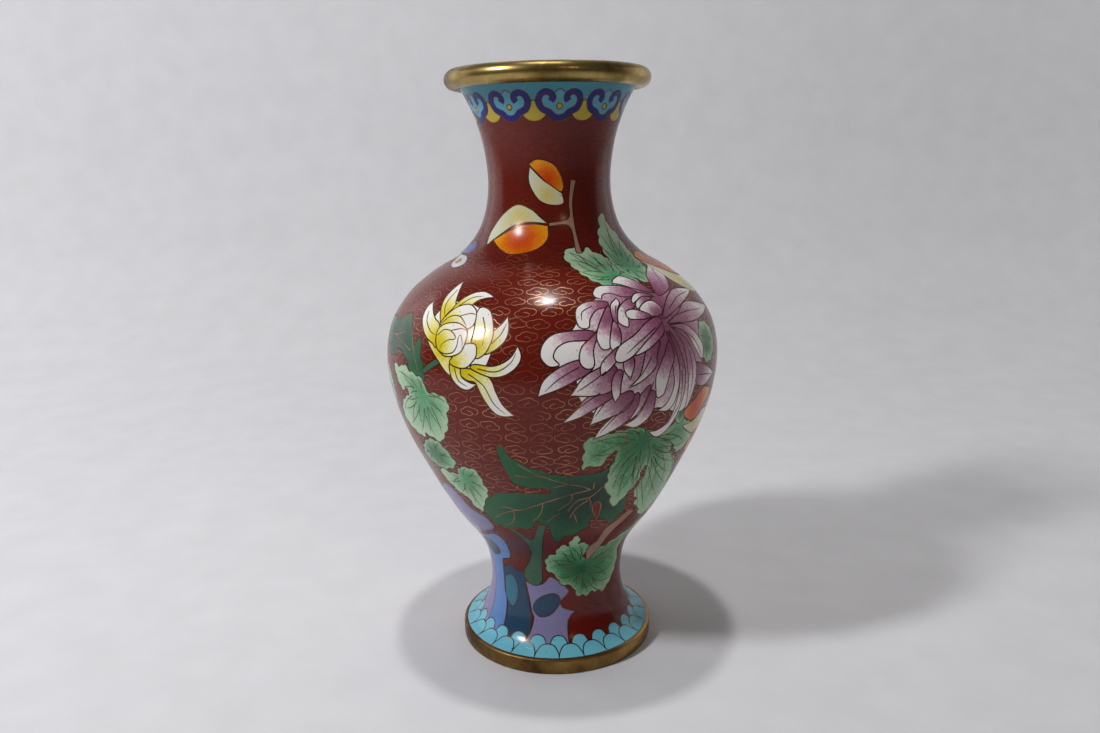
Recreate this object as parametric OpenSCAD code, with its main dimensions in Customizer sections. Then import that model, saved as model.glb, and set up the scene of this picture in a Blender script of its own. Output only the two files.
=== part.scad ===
// Cloisonne vase. A copper body is brazed together from four spun shells and a base plate.
// Outside it carries one layer of enamel, fired in cells between thin standing wires.
// Inside and under the base it has thin counter-enamel. A ring binds the mouth, another the foot.
// The vase stands on its foot ring, its axis is Z and its front faces -Y.

/* [Body] */
// Height from the table to the top of the rim ring
vase_h = 230; // [220:1:240]
// Radius over the enamel at the widest part of the belly
belly_r = 65.4; // [62:0.1:68]
// Radius over the enamel at the narrowest part of the neck
neck_r = 23.8; // [22.5:0.1:26]
// Radius over the enamel at the waist above the foot
waist_r = 27.4; // [26:0.1:30]

/* [Rings] */
// Radius of the circle that the rim ring's wire follows
rim_r = 35.5; // [35.3:0.1:35.8]
// Radius of the rim ring's own section
rim_wire_r = 3.6; // [3.4:0.1:3.8]
// Outer radius of the foot ring
foot_r = 39.8; // [39.6:0.1:41]
// Height of the foot ring
foot_ring_h = 6.2; // [6:0.1:6.3]
// Width of the foot ring, from its outside to its inside
foot_ring_w = 3.4; // [3:0.1:3.8]

/* [Walls] */
// Thickness of the enamel layer outside
enamel_t = 1; // [0.8:0.1:1.1]
// Thickness of the copper shells
copper_t = 1; // [0.8:0.1:1.2]
// Thickness of the counter-enamel inside and under the base
lining_t = 0.4; // [0.3:0.1:0.5]
// Width of a wire that parts two enamel cells
wire_w = 0.4; // [0.3:0.1:0.5]
// Height of the underside of the base above the table
base_z = 4.6; // [4.5:0.1:4.8]

/* [Bands] */
// Number of ruyi heads in the collar
ruyi_count = 10; // [8:1:10]
// Number of scales in each row of the foot band
scale_count = 24; // [20:2:24]

/* [Hidden] */
$fn = 96;
wall_t = enamel_t + copper_t + lining_t;
steps = 3;                // straight cuts in each span of the outline
reach = 90;               // how far a cutting block stands out from the axis
foot_top_r = foot_r - 1.3;
mouth_r = rim_r - 1.5;

// One station of the outline: its height, and how far its radius lies from one size to another.
function station(height, from_r, to_r, share) =
    [from_r + (to_r - from_r) * share, height * vase_h / 230];
stations = [
    [foot_top_r, foot_ring_h],
    station(8, waist_r, foot_top_r, 0.63),
    station(12, waist_r, foot_top_r, 0.31),
    station(19, waist_r, foot_top_r, 0.08),
    station(30, waist_r, belly_r, 0),
    station(44, waist_r, belly_r, 0.09),
    station(60, waist_r, belly_r, 0.38),
    station(78, waist_r, belly_r, 0.64),
    station(98, waist_r, belly_r, 0.88),
    station(118, waist_r, belly_r, 1),
    station(134, neck_r, belly_r, 0.96),
    station(146, neck_r, belly_r, 0.79),
    station(154, neck_r, belly_r, 0.57),
    station(162, neck_r, belly_r, 0.27),
    station(172, neck_r, belly_r, 0.08),
    station(186, neck_r, mouth_r, 0),
    station(202, neck_r, mouth_r, 0.12),
    station(215, neck_r, mouth_r, 0.51),
    station(224.6, neck_r, mouth_r, 1)];
last = len(stations) - 1;

// A smooth curve through the stations: in each span, a Bezier curve leaves one station and
// meets the next along the line between their neighbours.
function unit(v) = v / norm(v);
function heading(i) = unit(stations[min(i + 1, last)] - stations[max(i - 1, 0)]);
function handle(i) = norm(stations[i + 1] - stations[i]) / 3;
function bezier(a, b, c, d, t) =
    pow(1 - t, 3) * a + 3 * pow(1 - t, 2) * t * b + 3 * (1 - t) * t * t * c + pow(t, 3) * d;
function span(i, t) =
    bezier(stations[i], stations[i] + heading(i) * handle(i),
           stations[i + 1] - heading(i + 1) * handle(i), stations[i + 1], t);
outline = [for (i = [0 : last - 1], k = [0 : steps - 1]) span(i, k / steps), stations[last]];
ends = len(outline) - 1;

// Direction into the wall at a point of the outline, and the point moved in by a depth.
function along(i) = unit(outline[min(i + 1, ends)] - outline[max(i - 1, 0)]);
function sunk(i, depth) = outline[i] + depth * [-along(i)[1], along(i)[0]];

// Radius over the enamel at a height.
function radius_at(z, i = 0) =
    i >= ends - 1 || outline[i + 1][1] >= z
    ? outline[i][0] + (outline[i + 1][0] - outline[i][0])
      * (z - outline[i][1]) / (outline[i + 1][1] - outline[i][1])
    : radius_at(z, i + 1);

// Last outline point below a height, and first one above it.
function below(z) = max([0, for (i = [0 : ends]) if (outline[i][1] < z) i]);
function above(z) = min([ends, for (i = [0 : ends]) if (outline[i][1] > z) i]);

// Joints between the copper shells, as places on the outline
foot_joint = 5 * steps;
belly_joint = 9 * steps;
neck_joint = 13 * steps;

// A turned layer of the wall between two places on the outline and between two depths.
module layer(i0, i1, depth0, depth1)
    rotate_extrude()
        polygon([for (i = [i0 : i1]) sunk(i, depth0), for (i = [i1 : -1 : i0]) sunk(i, depth1)]);

// The outer enamel layer wherever a design between two heights needs it.
module enamel(z0, z1) layer(below(z0 - 1.5), above(z1 + 1.5), 0, enamel_t);

// A block that stands out from the axis towards an azimuth and has a flat outline.
module block(azimuth)
    rotate([0, 0, azimuth])
        rotate([90, 0, 0])
            linear_extrude(reach)
                children();

// Points given as azimuth and height, seen flat from the azimuth that faces them.
function flat(azimuth, points) =
    [for (p = points) [radius_at(p[1]) * sin(p[0] - azimuth), p[1]]];

// An outline moved outwards by a margin, corner by corner (anticlockwise points).
function outward(a, b) = let (d = unit(b - a)) [d[1], -d[0]];
function grow(points, margin) =
    let (n = len(points))
    [for (i = [0 : n - 1])
        let (before = outward(points[(i + n - 1) % n], points[i]),
             after = outward(points[i], points[(i + 1) % n]),
             middle = unit(before + after))
        points[i] + middle * margin / max(0.5, middle * after)];

// ROSETTES: a flower, a leaf or a butterfly is an oval with scalloped lobes round a heart.
// One rosette is [azimuth, height, half length, half width, turn, lobes, depth of the scallops].
pink_flower = [34, 132, 36, 22, 8, 18, 0.16];
pink_back = [205, 118, 26, 20, -15, 14, 0.16];
yellow_flower = [-31, 137, 17, 14, 30, 9, 0.3];
yellow_back = [140, 140, 14, 11, 20, 9, 0.3];
pale_leaves = [
    [50, 163, 9, 7, 70, 5, 0.25],
    [20, 160.5, 7, 3.6, -40, 5, 0.2],
    [-53, 112, 15, 9, 35, 7, 0.25],
    [-37, 78.5, 8.5, 6, 70, 5, 0.25],
    [110, 128, 15, 10, -30, 7, 0.25],
    [-110, 85, 12, 9, 40, 5, 0.25],
    [155, 78, 12, 9, 20, 7, 0.25]];
green_leaves = [
    [26, 85, 11, 7, 75, 5, 0.25],
    [49, 85, 15, 9, -50, 5, 0.25],
    [12, 45, 6.5, 6, 60, 5, 0.25],
    [44, 37, 9, 6, 20, 5, 0.25],
    [-112, 125, 15, 10, 20, 7, 0.25],
    [-160, 60, 8, 7, 50, 5, 0.25]];
dark_leaves = [
    [-62, 134, 11, 4.5, 12, 5, 0.2],
    [-6, 76, 18.5, 8, 8, 7, 0.25],
    [-58, 91, 9, 5, -30, 5, 0.2],
    [85, 100, 12, 8, 60, 5, 0.25],
    [-170, 84, 14, 8, 10, 7, 0.25]];
butterflies = [
    [-88, 158, 11, 8, 20, 4, 0.45],
    [170, 176, 6, 5, -20, 4, 0.45]];

function turned(p, angle) =
    [p[0] * cos(angle) - p[1] * sin(angle), p[0] * sin(angle) + p[1] * cos(angle)];
function oval(t, long, wide) = 1 / sqrt(pow(cos(t) / long, 2) + pow(sin(t) / wide, 2));
function edge(r, t) = oval(t, r[2], r[3]) * (1 - r[6] * (1 - abs(cos(r[5] * t / 2))));
function heart_share(r) = r[5] > 12 ? 0.42 : 0.24;
function place(r, t, radius) = [0, r[1]] + turned([radius * cos(t), radius * sin(t)], r[4]);
function rim_points(r) = [for (k = [0 : 4 * r[5] - 1]) let (t = k * 90 / r[5]) place(r, t, edge(r, t))];

// The cell of one lobe: it keeps half a wire's width clear of its neighbours all round.
function lobe_points(r, k, from, to) =
    let (half = 180 / r[5], mid = k * 360 / r[5])
    [for (s = [-0.9, -0.45, 0, 0.45, 0.9])
        let (t = mid + s * half * (1 - 0.06 * wire_w))
        place(r, t, edge(r, t) * to - wire_w),
     for (s = [0.8, -0.8])
        let (t = mid + s * half) place(r, t, oval(t, r[2], r[3]) * from + wire_w)];

module rosette_block(r) block(r[0]) polygon(rim_points(r));

module rosette_cells(r, from, to)
    intersection() {
        enamel(r[1] - max(r[2], r[3]), r[1] + max(r[2], r[3]));
        for (k = [0 : r[5] - 1]) block(r[0]) polygon(lobe_points(r, k, from, to));
    }

module rosette_wires(r, rings)
    difference() {
        intersection() {
            enamel(r[1] - max(r[2], r[3]), r[1] + max(r[2], r[3]));
            rosette_block(r);
        }
        for (ring = rings, k = [0 : r[5] - 1])
            block(r[0]) polygon(lobe_points(r, k, ring[0], ring[1]));
    }

one_ring = [[0.24, 1]];
two_rings = [[0.08, 0.38], [0.42, 1]];

// FREE CELLS: outlines given as azimuth and height, anticlockwise seen from outside.
orange_parts = [
    [[-18, 195.5], [-6, 190.3], [4, 186.6], [11, 185.4], [12.6, 188], [9, 192.5], [2, 195.8], [-10, 197.2]],
    [[-42, 168.3], [-34, 165], [-25, 163.8], [-10, 165.4], [-2, 169], [-1.5, 174], [-14, 174.4], [-28, 172.4]],
    [[49, 105], [55, 102.5], [63, 106], [67, 111], [60, 112.5], [53, 110]],
    [[-140, 160], [-130, 156], [-118, 158], [-112, 163], [-124, 165]]];
cream_parts = [
    [[-17, 187.5], [-9, 182.6], [2, 180.8], [12, 181.4], [3, 185.6], [-6, 189.2], [-17, 193.4], [-18.6, 191]],
    [[-53, 171], [-50.5, 166.6], [-46, 168.5], [-33, 173], [-20, 175.6], [-8, 176], [-16, 179.4], [-30, 181],
     [-45, 176.8]],
    [[50, 101], [60, 97], [68, 100], [66, 104.5], [56, 101.6]]];
twig_parts = [
    [[16.5, 168], [20.2, 168], [20, 176], [20.2, 182], [24, 189.5], [19, 189.8], [16.6, 182], [15, 178.5]],
    [[25, 51], [30.5, 51], [33, 58], [42, 66.5], [37, 68], [27, 61]],
    [[-26, 33.5], [-14, 33.5], [-9, 40], [-7.5, 52], [-6.5, 61], [-10.5, 61], [-13.5, 57], [-17, 61], [-20, 61],
     [-16, 54], [-17, 44]]];
rock_parts = [
    [[-58, 53], [-50, 54.5], [-34, 60], [-36, 65], [-50, 64], [-60, 62]],
    [[-19, 14], [6, 14], [8, 17], [16, 20], [5, 22.5], [10, 28.5], [-4, 34.5], [-13, 31.5], [-25, 30],
     [-21, 20]]];
sky_parts = [
    [[-60, 14], [-46, 14], [-47, 21], [-51, 27], [-47.5, 39.5], [-37, 43], [-33, 52], [-37, 56],
     [-50, 51.5], [-60, 49]]];
navy_parts = [
    [[-42, 14], [-24, 14], [-22.5, 19], [-27, 27], [-30, 35.5], [-40, 37.5], [-46.5, 32], [-46, 24],
     [-42, 20]]];
navy_spot = [-8, 23, 4.6, 3.2, -12, 12, 0];

// Azimuth that an outline faces, and its lowest and highest points.
function facing(p) = (min([for (q = p) q[0]]) + max([for (q = p) q[0]])) / 2;
function low(p) = min([for (q = p) q[1]]);
function high(p) = max([for (q = p) q[1]]);

module free_block(p, margin) block(facing(p)) polygon(grow(flat(facing(p), p), margin));

// All the free cells of one colour: each lies half a wire's width inside its outline.
module free_cells(parts)
    for (p = parts)
        intersection() {
            enamel(low(p), high(p));
            free_block(p, -wire_w / 2);
        }

// The wires round those cells.
module free_wires(parts)
    for (p = parts)
        difference() {
            intersection() {
                enamel(low(p), high(p));
                free_block(p, wire_w / 2);
            }
            free_block(p, -wire_w / 2);
        }

// COLLAR: three-lobed ruyi heads with a heart and a dot in each, and half-round lobes between.
function ruyi_turn(k) = 8 + k * 360 / ruyi_count;
function ruyi(k, size) = [ruyi_turn(k), 216.8 * vase_h / 230, size, size, -90, 3, 0.25];
head_size = 6.3;
heart_size = 3.6;
dot_r = 1;
lobe_w = 3.4;
lobe_h = 3.8;
collar_start = 17 * steps;
collar_z = stations[17][1];

module ruyi_block(k, size, margin) block(ruyi_turn(k)) polygon(grow(rim_points(ruyi(k, size)), margin));
module dot_block(k) block(ruyi_turn(k)) translate([0, ruyi(k, 1)[1]]) circle(dot_r, $fn = 8);
module lobe_block(k, margin)
    block(ruyi_turn(k + 0.5))
        polygon([for (t = [180 : 30 : 360])
            [(lobe_w + margin) * cos(t), collar_z - 0.7 + (lobe_h + margin) * sin(t)
             + (t == 180 || t == 360 ? margin : 0)]]);
module collar_layer() layer(below(collar_z - 7), ends, 0, enamel_t);
module each_head() for (k = [0 : ruyi_count - 1]) { $k = k; children(); }

// FOOT BAND: two staggered rows of scales, the lower row in front of the upper one.
band_top = 2 * steps;
scale_r = 4.2;
lower_row = [1, 0];
upper_row = [4, 180 / scale_count];

// Round blocks that stand square to the surface along one row.
module scale_row(row, r)
    for (k = [0 : scale_count - 1])
        rotate([0, 0, row[1] + k * 360 / scale_count])
            translate([0, -outline[row[0]][0], outline[row[0]][1]])
                rotate([90 - atan2(-along(row[0])[0], along(row[0])[1]), 0, 0])
                    cylinder(h = 5 * enamel_t, r = r, center = true, $fn = 6);

module scale_lines() {
    difference() {
        scale_row(lower_row, scale_r);
        scale_row(lower_row, scale_r - wire_w);
    }
    difference() {
        scale_row(upper_row, scale_r);
        scale_row(upper_row, scale_r - wire_w);
        scale_row(lower_row, scale_r);
    }
}

// METALWORK

module rim_ring()
    color("#9c7a45")
        difference() {
            rotate_extrude() translate([rim_r, vase_h - rim_wire_r]) circle(rim_wire_r);
            layer(collar_start, ends, 0, wall_t);
        }

module neck_shell() color("#b87346") layer(neck_joint, ends, enamel_t, enamel_t + copper_t);
module shoulder_shell() color("#b06c40") layer(belly_joint, neck_joint, enamel_t, enamel_t + copper_t);
module belly_shell() color("#b87346") layer(foot_joint, belly_joint, enamel_t, enamel_t + copper_t);
module foot_shell() color("#b06c40") layer(0, foot_joint, enamel_t, enamel_t + copper_t);

// The base plate's edge is turned to the foot shell's slope and brazed to it.
module base_disc(z, thickness)
    difference() {
        translate([0, 0, z]) cylinder(h = thickness, r = foot_r - foot_ring_w);
        layer(0, band_top, 0, wall_t);
    }
module base_plate() color("#b87346") base_disc(base_z + lining_t, copper_t);

module foot_ring()
    color("#9c7a45")
        difference() {
            rotate_extrude()
                polygon([[foot_r - foot_ring_w, 0], [foot_r - 0.4, 0], [foot_r, 0.4],
                         for (t = [0 : 15 : 90]) [foot_r - 1 + cos(t), foot_ring_h - 1 + sin(t)],
                         [foot_r - foot_ring_w, foot_ring_h]]);
            layer(0, band_top, 0, wall_t);
        }

// ENAMEL

module lining()
    color("#2f6f86")
        difference() {
            layer(0, ends, enamel_t + copper_t, wall_t);
            cylinder(h = base_z + lining_t + copper_t, r = foot_r);
        }
module base_enamel() color("#2f6f86") base_disc(base_z, lining_t);

module ground_enamel()
    color("#4a1512")
        difference() {
            layer(band_top, collar_start, 0, enamel_t);
            rosette_block(pink_flower);
            rosette_block(pink_back);
            rosette_block(yellow_flower);
            rosette_block(yellow_back);
            for (r = concat(pale_leaves, green_leaves, dark_leaves, butterflies)) rosette_block(r);
            for (p = concat(orange_parts, cream_parts, twig_parts, rock_parts, sky_parts, navy_parts))
                free_block(p, wire_w / 2);
            each_head() ruyi_block($k, head_size, wire_w / 2);
            each_head() lobe_block($k, wire_w / 2);
        }

module collar_enamel()
    color("#57a3b0")
        difference() {
            layer(collar_start, ends, 0, enamel_t);
            each_head() ruyi_block($k, head_size, wire_w / 2);
        }
module ruyi_heads()
    color("#1b1c6b")
        difference() {
            intersection() {
                collar_layer();
                each_head() ruyi_block($k, head_size, -wire_w / 2);
            }
            each_head() ruyi_block($k, heart_size, wire_w / 2);
        }
module ruyi_hearts()
    color("#5fa9c4")
        difference() {
            intersection() {
                collar_layer();
                each_head() ruyi_block($k, heart_size, -wire_w / 2);
            }
            each_head() dot_block($k);
        }
module ruyi_dots()
    color("#c9b43a")
        intersection() {
            collar_layer();
            each_head() dot_block($k);
        }
module ruyi_lobes()
    color("#c9b43a")
        intersection() {
            collar_layer();
            each_head() lobe_block($k, -wire_w / 2);
        }
module collar_wires()
    color("#a8874a")
        intersection() {
            collar_layer();
            union() {
                difference() {
                    each_head() ruyi_block($k, head_size, wire_w / 2);
                    each_head() ruyi_block($k, head_size, -wire_w / 2);
                }
                difference() {
                    each_head() ruyi_block($k, heart_size, wire_w / 2);
                    each_head() ruyi_block($k, heart_size, -wire_w / 2);
                }
                difference() {
                    each_head() lobe_block($k, wire_w / 2);
                    each_head() lobe_block($k, -wire_w / 2);
                }
            }
        }

module scale_enamel()
    color("#5fb4bd")
        difference() {
            layer(0, band_top, 0, enamel_t);
            scale_lines();
        }
module scale_wires()
    color("#a8874a")
        intersection() {
            layer(0, band_top, 0, enamel_t);
            scale_lines();
        }

module pink_petals()
    color("#b98a9c")
        for (r = [pink_flower, pink_back], ring = two_rings) rosette_cells(r, ring[0], ring[1]);
module pink_wires() color("#a8874a") for (r = [pink_flower, pink_back]) rosette_wires(r, two_rings);
module yellow_petals()
    color("#d8cf7a")
        for (r = [yellow_flower, yellow_back], ring = two_rings) rosette_cells(r, ring[0], ring[1]);
module yellow_wires() color("#a8874a") for (r = [yellow_flower, yellow_back]) rosette_wires(r, two_rings);

module leaf_cells(leaves) for (r = leaves) rosette_cells(r, one_ring[0][0], one_ring[0][1]);
module leaf_wires(leaves) for (r = leaves) rosette_wires(r, one_ring);
module pale_leaf_cells() color("#8fb394") leaf_cells(pale_leaves);
module pale_leaf_wires() color("#a8874a") leaf_wires(pale_leaves);
module green_leaf_cells() color("#4f8459") leaf_cells(green_leaves);
module green_leaf_wires() color("#a8874a") leaf_wires(green_leaves);
module dark_leaf_cells() color("#1f4a38") leaf_cells(dark_leaves);
module dark_leaf_wires() color("#a8874a") leaf_wires(dark_leaves);
module butterfly_wings() color("#7f95c2") leaf_cells(butterflies);
module butterfly_wires() color("#a8874a") leaf_wires(butterflies);

module orange_leaf_cells() color("#b8581a") free_cells(orange_parts);
module cream_leaf_cells() color("#b9b98c") free_cells(cream_parts);
module autumn_wires() color("#a8874a") free_wires(concat(orange_parts, cream_parts));
module twig_cells() color("#7d5a48") free_cells(twig_parts);
module twig_wires() color("#a8874a") free_wires(twig_parts);

module spot_block(margin) block(navy_spot[0]) polygon(grow(rim_points(navy_spot), margin));
module spot_layer() enamel(navy_spot[1] - navy_spot[2], navy_spot[1] + navy_spot[2]);
module rock_lavender()
    color("#8e86ab")
        difference() {
            free_cells(rock_parts);
            spot_block(wire_w / 2);
        }
module rock_sky() color("#6f95c8") free_cells(sky_parts);
module rock_navy() {
    color("#27405a") free_cells(navy_parts);
    color("#27405a")
        intersection() {
            spot_layer();
            spot_block(-wire_w / 2);
        }
}
module rock_wires()
    color("#a8874a") {
        free_wires(concat(rock_parts, sky_parts, navy_parts));
        difference() {
            intersection() {
                spot_layer();
                spot_block(wire_w / 2);
            }
            spot_block(-wire_w / 2);
        }
    }

rim_ring();
neck_shell();
shoulder_shell();
belly_shell();
foot_shell();
base_plate();
foot_ring();
lining();
base_enamel();
ground_enamel();
collar_enamel();
ruyi_heads();
ruyi_hearts();
ruyi_dots();
ruyi_lobes();
collar_wires();
scale_enamel();
scale_wires();
pink_petals();
pink_wires();
yellow_petals();
yellow_wires();
pale_leaf_cells();
pale_leaf_wires();
green_leaf_cells();
green_leaf_wires();
dark_leaf_cells();
dark_leaf_wires();
butterfly_wings();
butterfly_wires();
orange_leaf_cells();
cream_leaf_cells();
autumn_wires();
twig_cells();
twig_wires();
rock_lavender();
rock_sky();
rock_navy();
rock_wires();
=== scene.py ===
# %% [markdown]
# # A cloisonné vase
# On the real vase, a spun copper body carries a picture drawn in thin standing wires. The cells
# between the wires are filled with ground glass, fired, topped up, fired again, and at last
# polished down until wire and glass are one smooth skin. Each cell could be modelled on the curved
# body by hand, but a picture of some two thousand wires is easier to draw flat. So this lesson draws
# it on a sheet, cuts the sheet into cells, and wraps the cells round the body.

# %% The frame and the tools
import math
import random

import bpy
import numpy as np
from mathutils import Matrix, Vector
from mathutils.geometry import delaunay_2d_cdt


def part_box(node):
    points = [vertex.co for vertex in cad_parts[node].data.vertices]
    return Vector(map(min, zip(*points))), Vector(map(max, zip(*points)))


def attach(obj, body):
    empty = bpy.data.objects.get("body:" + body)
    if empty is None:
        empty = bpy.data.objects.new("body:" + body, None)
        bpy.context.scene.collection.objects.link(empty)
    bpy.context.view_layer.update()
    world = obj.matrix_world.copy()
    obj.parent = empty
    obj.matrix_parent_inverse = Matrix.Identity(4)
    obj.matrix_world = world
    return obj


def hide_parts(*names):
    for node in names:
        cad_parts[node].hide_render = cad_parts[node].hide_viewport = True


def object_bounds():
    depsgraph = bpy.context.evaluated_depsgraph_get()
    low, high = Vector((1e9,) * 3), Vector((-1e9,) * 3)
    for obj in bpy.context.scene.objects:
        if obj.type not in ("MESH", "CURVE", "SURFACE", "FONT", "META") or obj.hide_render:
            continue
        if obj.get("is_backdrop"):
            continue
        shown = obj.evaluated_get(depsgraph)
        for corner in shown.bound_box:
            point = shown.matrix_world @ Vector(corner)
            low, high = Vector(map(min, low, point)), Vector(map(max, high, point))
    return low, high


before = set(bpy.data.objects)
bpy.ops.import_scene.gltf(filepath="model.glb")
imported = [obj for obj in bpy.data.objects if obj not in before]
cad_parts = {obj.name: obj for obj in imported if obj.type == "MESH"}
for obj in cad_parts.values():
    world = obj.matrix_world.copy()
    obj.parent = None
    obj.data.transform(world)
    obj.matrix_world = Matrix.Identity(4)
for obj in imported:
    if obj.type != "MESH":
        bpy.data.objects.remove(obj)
cad_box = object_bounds()
MM = 0.001
print("CAD nodes:", len(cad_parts))

# %% [markdown]
# ## The camera
# The viewer stands close, a little above the vase's shoulder, and looks down at it. The camera could
# stand farther off with a longer lens, but then the vase would lose the slight tapering that a near
# view gives. So it has a moderately wide lens and stands a foot and a bit away.

# %% Camera
CAMERA_DISTANCE = 0.3565
CAMERA_HEIGHT = 0.1984
LOOK_DOWN = 13.18
LENS = 29.5
SENSOR = 36
HEAD_TILT = 1.01
SIDE_SHIFT = -0.0023

eye = bpy.data.objects.new("Camera", bpy.data.cameras.new("Camera"))
bpy.context.scene.collection.objects.link(eye)
bpy.context.scene.camera = eye
eye.location = (0, -CAMERA_DISTANCE, CAMERA_HEIGHT)
eye.rotation_euler = (math.radians(90 - LOOK_DOWN), 0, 0)
eye.rotation_euler.rotate_axis("Z", -math.radians(HEAD_TILT))
eye.data.lens = LENS
eye.data.sensor_width = SENSOR
eye.data.shift_x = SIDE_SHIFT
print("camera", [round(v, 3) for v in eye.location])

# %% [markdown]
# ## The outline of the body
# The body is raised or spun from copper, so it is a surface of revolution and one curve gives it
# all. Its main radii are measured from the frame's own nodes, so that the skin lies where the solid
# enamel lies.

# %% Measured radii
def node_radii(node, low, high):
    """Smallest and largest distance from the axis, in mm, of a node's points between two heights."""
    points = np.array([v.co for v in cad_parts[node].data.vertices]) / MM
    points = points[(points[:, 2] > low) & (points[:, 2] < high)]
    radii = np.hypot(points[:, 0], points[:, 1])
    return radii.min(), radii.max()


ENAMEL_T = 1.0     # thickness of the enamel layer
RIM_LAP = 1.5      # how far the rim ring laps over the mouth
FOOT_LIP = 1.3     # how far the foot ring stands out past the enamel
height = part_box("rim_ring")[1].z / MM
ring_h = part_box("foot_ring")[1].z / MM
foot_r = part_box("foot_ring")[1].x / MM
belly_r = node_radii("ground_enamel", 100, 130)[1]
neck_r = node_radii("ground_enamel", 175, 195)[0] + ENAMEL_T
waist_r = node_radii("ground_enamel", 25, 35)[0] + ENAMEL_T
rim_wire_r = (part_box("rim_ring")[1].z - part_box("rim_ring")[0].z) / MM / 2
rim_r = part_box("rim_ring")[1].x / MM - rim_wire_r
mouth_r = rim_r - RIM_LAP
foot_top_r = foot_r - FOOT_LIP
print(f"belly {belly_r:.1f}, neck {neck_r:.1f}, waist {waist_r:.1f} mm in radius")

# %% [markdown]
# Between the main radii stand the stations: each has a height on a vase of the drawn height, two
# radii, and how far it lies from one to the other. A Bezier curve runs smoothly through them. Straight
# spans would be simpler, but a polished skin would show each of them as a band.

# %% Outline
DRAWN_HEIGHT = 230
SPAN_STEPS = 12
SHARES = [(8, waist_r, foot_top_r, 0.63), (12, waist_r, foot_top_r, 0.31), (19, waist_r, foot_top_r, 0.08),
          (30, waist_r, belly_r, 0), (44, waist_r, belly_r, 0.09), (60, waist_r, belly_r, 0.38),
          (78, waist_r, belly_r, 0.64), (98, waist_r, belly_r, 0.88), (118, waist_r, belly_r, 1),
          (134, neck_r, belly_r, 0.96), (146, neck_r, belly_r, 0.79), (154, neck_r, belly_r, 0.57),
          (162, neck_r, belly_r, 0.27), (172, neck_r, belly_r, 0.08), (186, neck_r, mouth_r, 0),
          (202, neck_r, mouth_r, 0.12), (215, neck_r, mouth_r, 0.51), (224.6, neck_r, mouth_r, 1)]
stations = np.array([(foot_top_r, ring_h)]
                    + [(a + (b - a) * share, z * height / DRAWN_HEIGHT) for z, a, b, share in SHARES])


def smooth_outline(points, steps):
    """A Bezier curve through the points: it passes each along the line between its neighbours."""
    count = len(points)
    heading = [points[min(i + 1, count - 1)] - points[max(i - 1, 0)] for i in range(count)]
    heading = [h / np.linalg.norm(h) for h in heading]
    curve = []
    for i in range(count - 1):
        a, d = points[i], points[i + 1]
        handle = np.linalg.norm(d - a) / 3
        b, c = a + heading[i] * handle, d - heading[i + 1] * handle
        for t in np.arange(steps) / steps:
            curve.append((1 - t) ** 3 * a + 3 * (1 - t) ** 2 * t * b + 3 * (1 - t) * t * t * c + t ** 3 * d)
    return np.array(curve + [points[-1]])


outline = smooth_outline(stations, SPAN_STEPS)
steps_along = np.hypot(*np.diff(outline, axis=0).T)
along = np.concatenate([[0], np.cumsum(steps_along)])
slope = np.gradient(outline, along, axis=0)
slope /= np.linalg.norm(slope, axis=1)[:, None]
print(f"outline {along[-1]:.1f} mm long, in {len(outline)} points")

# %% [markdown]
# The flat sheet's x is the angle round the body and its y is the way along the outline, in mm. One
# degree is 1.1 mm of sheet, which is about its true width at the belly, so shapes there keep
# their proportions. Towards the neck and the waist the sheet is wider than the body.

# %% From the sheet to the body
SHEET_PER_DEGREE = 1.1


def way_at(z):
    """Distance along the outline, in mm, at a height."""
    return np.interp(z, outline[:, 1], along)


def radius_at(way):
    return np.interp(way, along, outline[:, 0])


def width_at(way):
    """Real millimetres round the body for each millimetre of sheet."""
    return radius_at(way) * math.pi / 180 / SHEET_PER_DEGREE


def on_body(sheet):
    """Places in metres, and their outward directions, for points of the flat sheet."""
    turn = np.radians(sheet[:, 0] / SHEET_PER_DEGREE)
    way = sheet[:, 1]
    dr, dz = np.interp(way, along, slope[:, 0]), np.interp(way, along, slope[:, 1])
    r, z = radius_at(way), np.interp(way, along, outline[:, 1])
    places = np.stack([r * np.sin(turn), -r * np.cos(turn), z], 1) * MM
    outward = np.stack([dz * np.sin(turn), -dz * np.cos(turn), -dr], 1)
    return places, outward / np.linalg.norm(outward, axis=1)[:, None]


print(f"sheet {360 * SHEET_PER_DEGREE:.0f} by {along[-1]:.0f} mm")

# %% [markdown]
# ## Written paths
# A maker bends each wire to a pencil line. Here each line is written as pairs of an angle in
# degrees, to the right of the front, and a height in mm. A star marks a sharp corner, and everywhere
# else the line bends smoothly through its points. Bezier handles could be written too, but a
# bent wire has none: it just passes through its places.

# %% Paths
def sheet_point(azimuth, z):
    return azimuth * SHEET_PER_DEGREE, way_at(z)


def read_path(text, at=None):
    """The points of a written path, and which are sharp. With a place, the path is in mm round it."""
    pairs = [p.split() for p in text.split(",")]
    if at:
        x, y = sheet_point(*at)
        points = [(x + float(p[0]) / width_at(y), y + float(p[1])) for p in pairs]
    else:
        points = [sheet_point(float(p[0]), float(p[1])) for p in pairs]
    return np.array(points), [len(p) > 2 for p in pairs]


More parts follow.
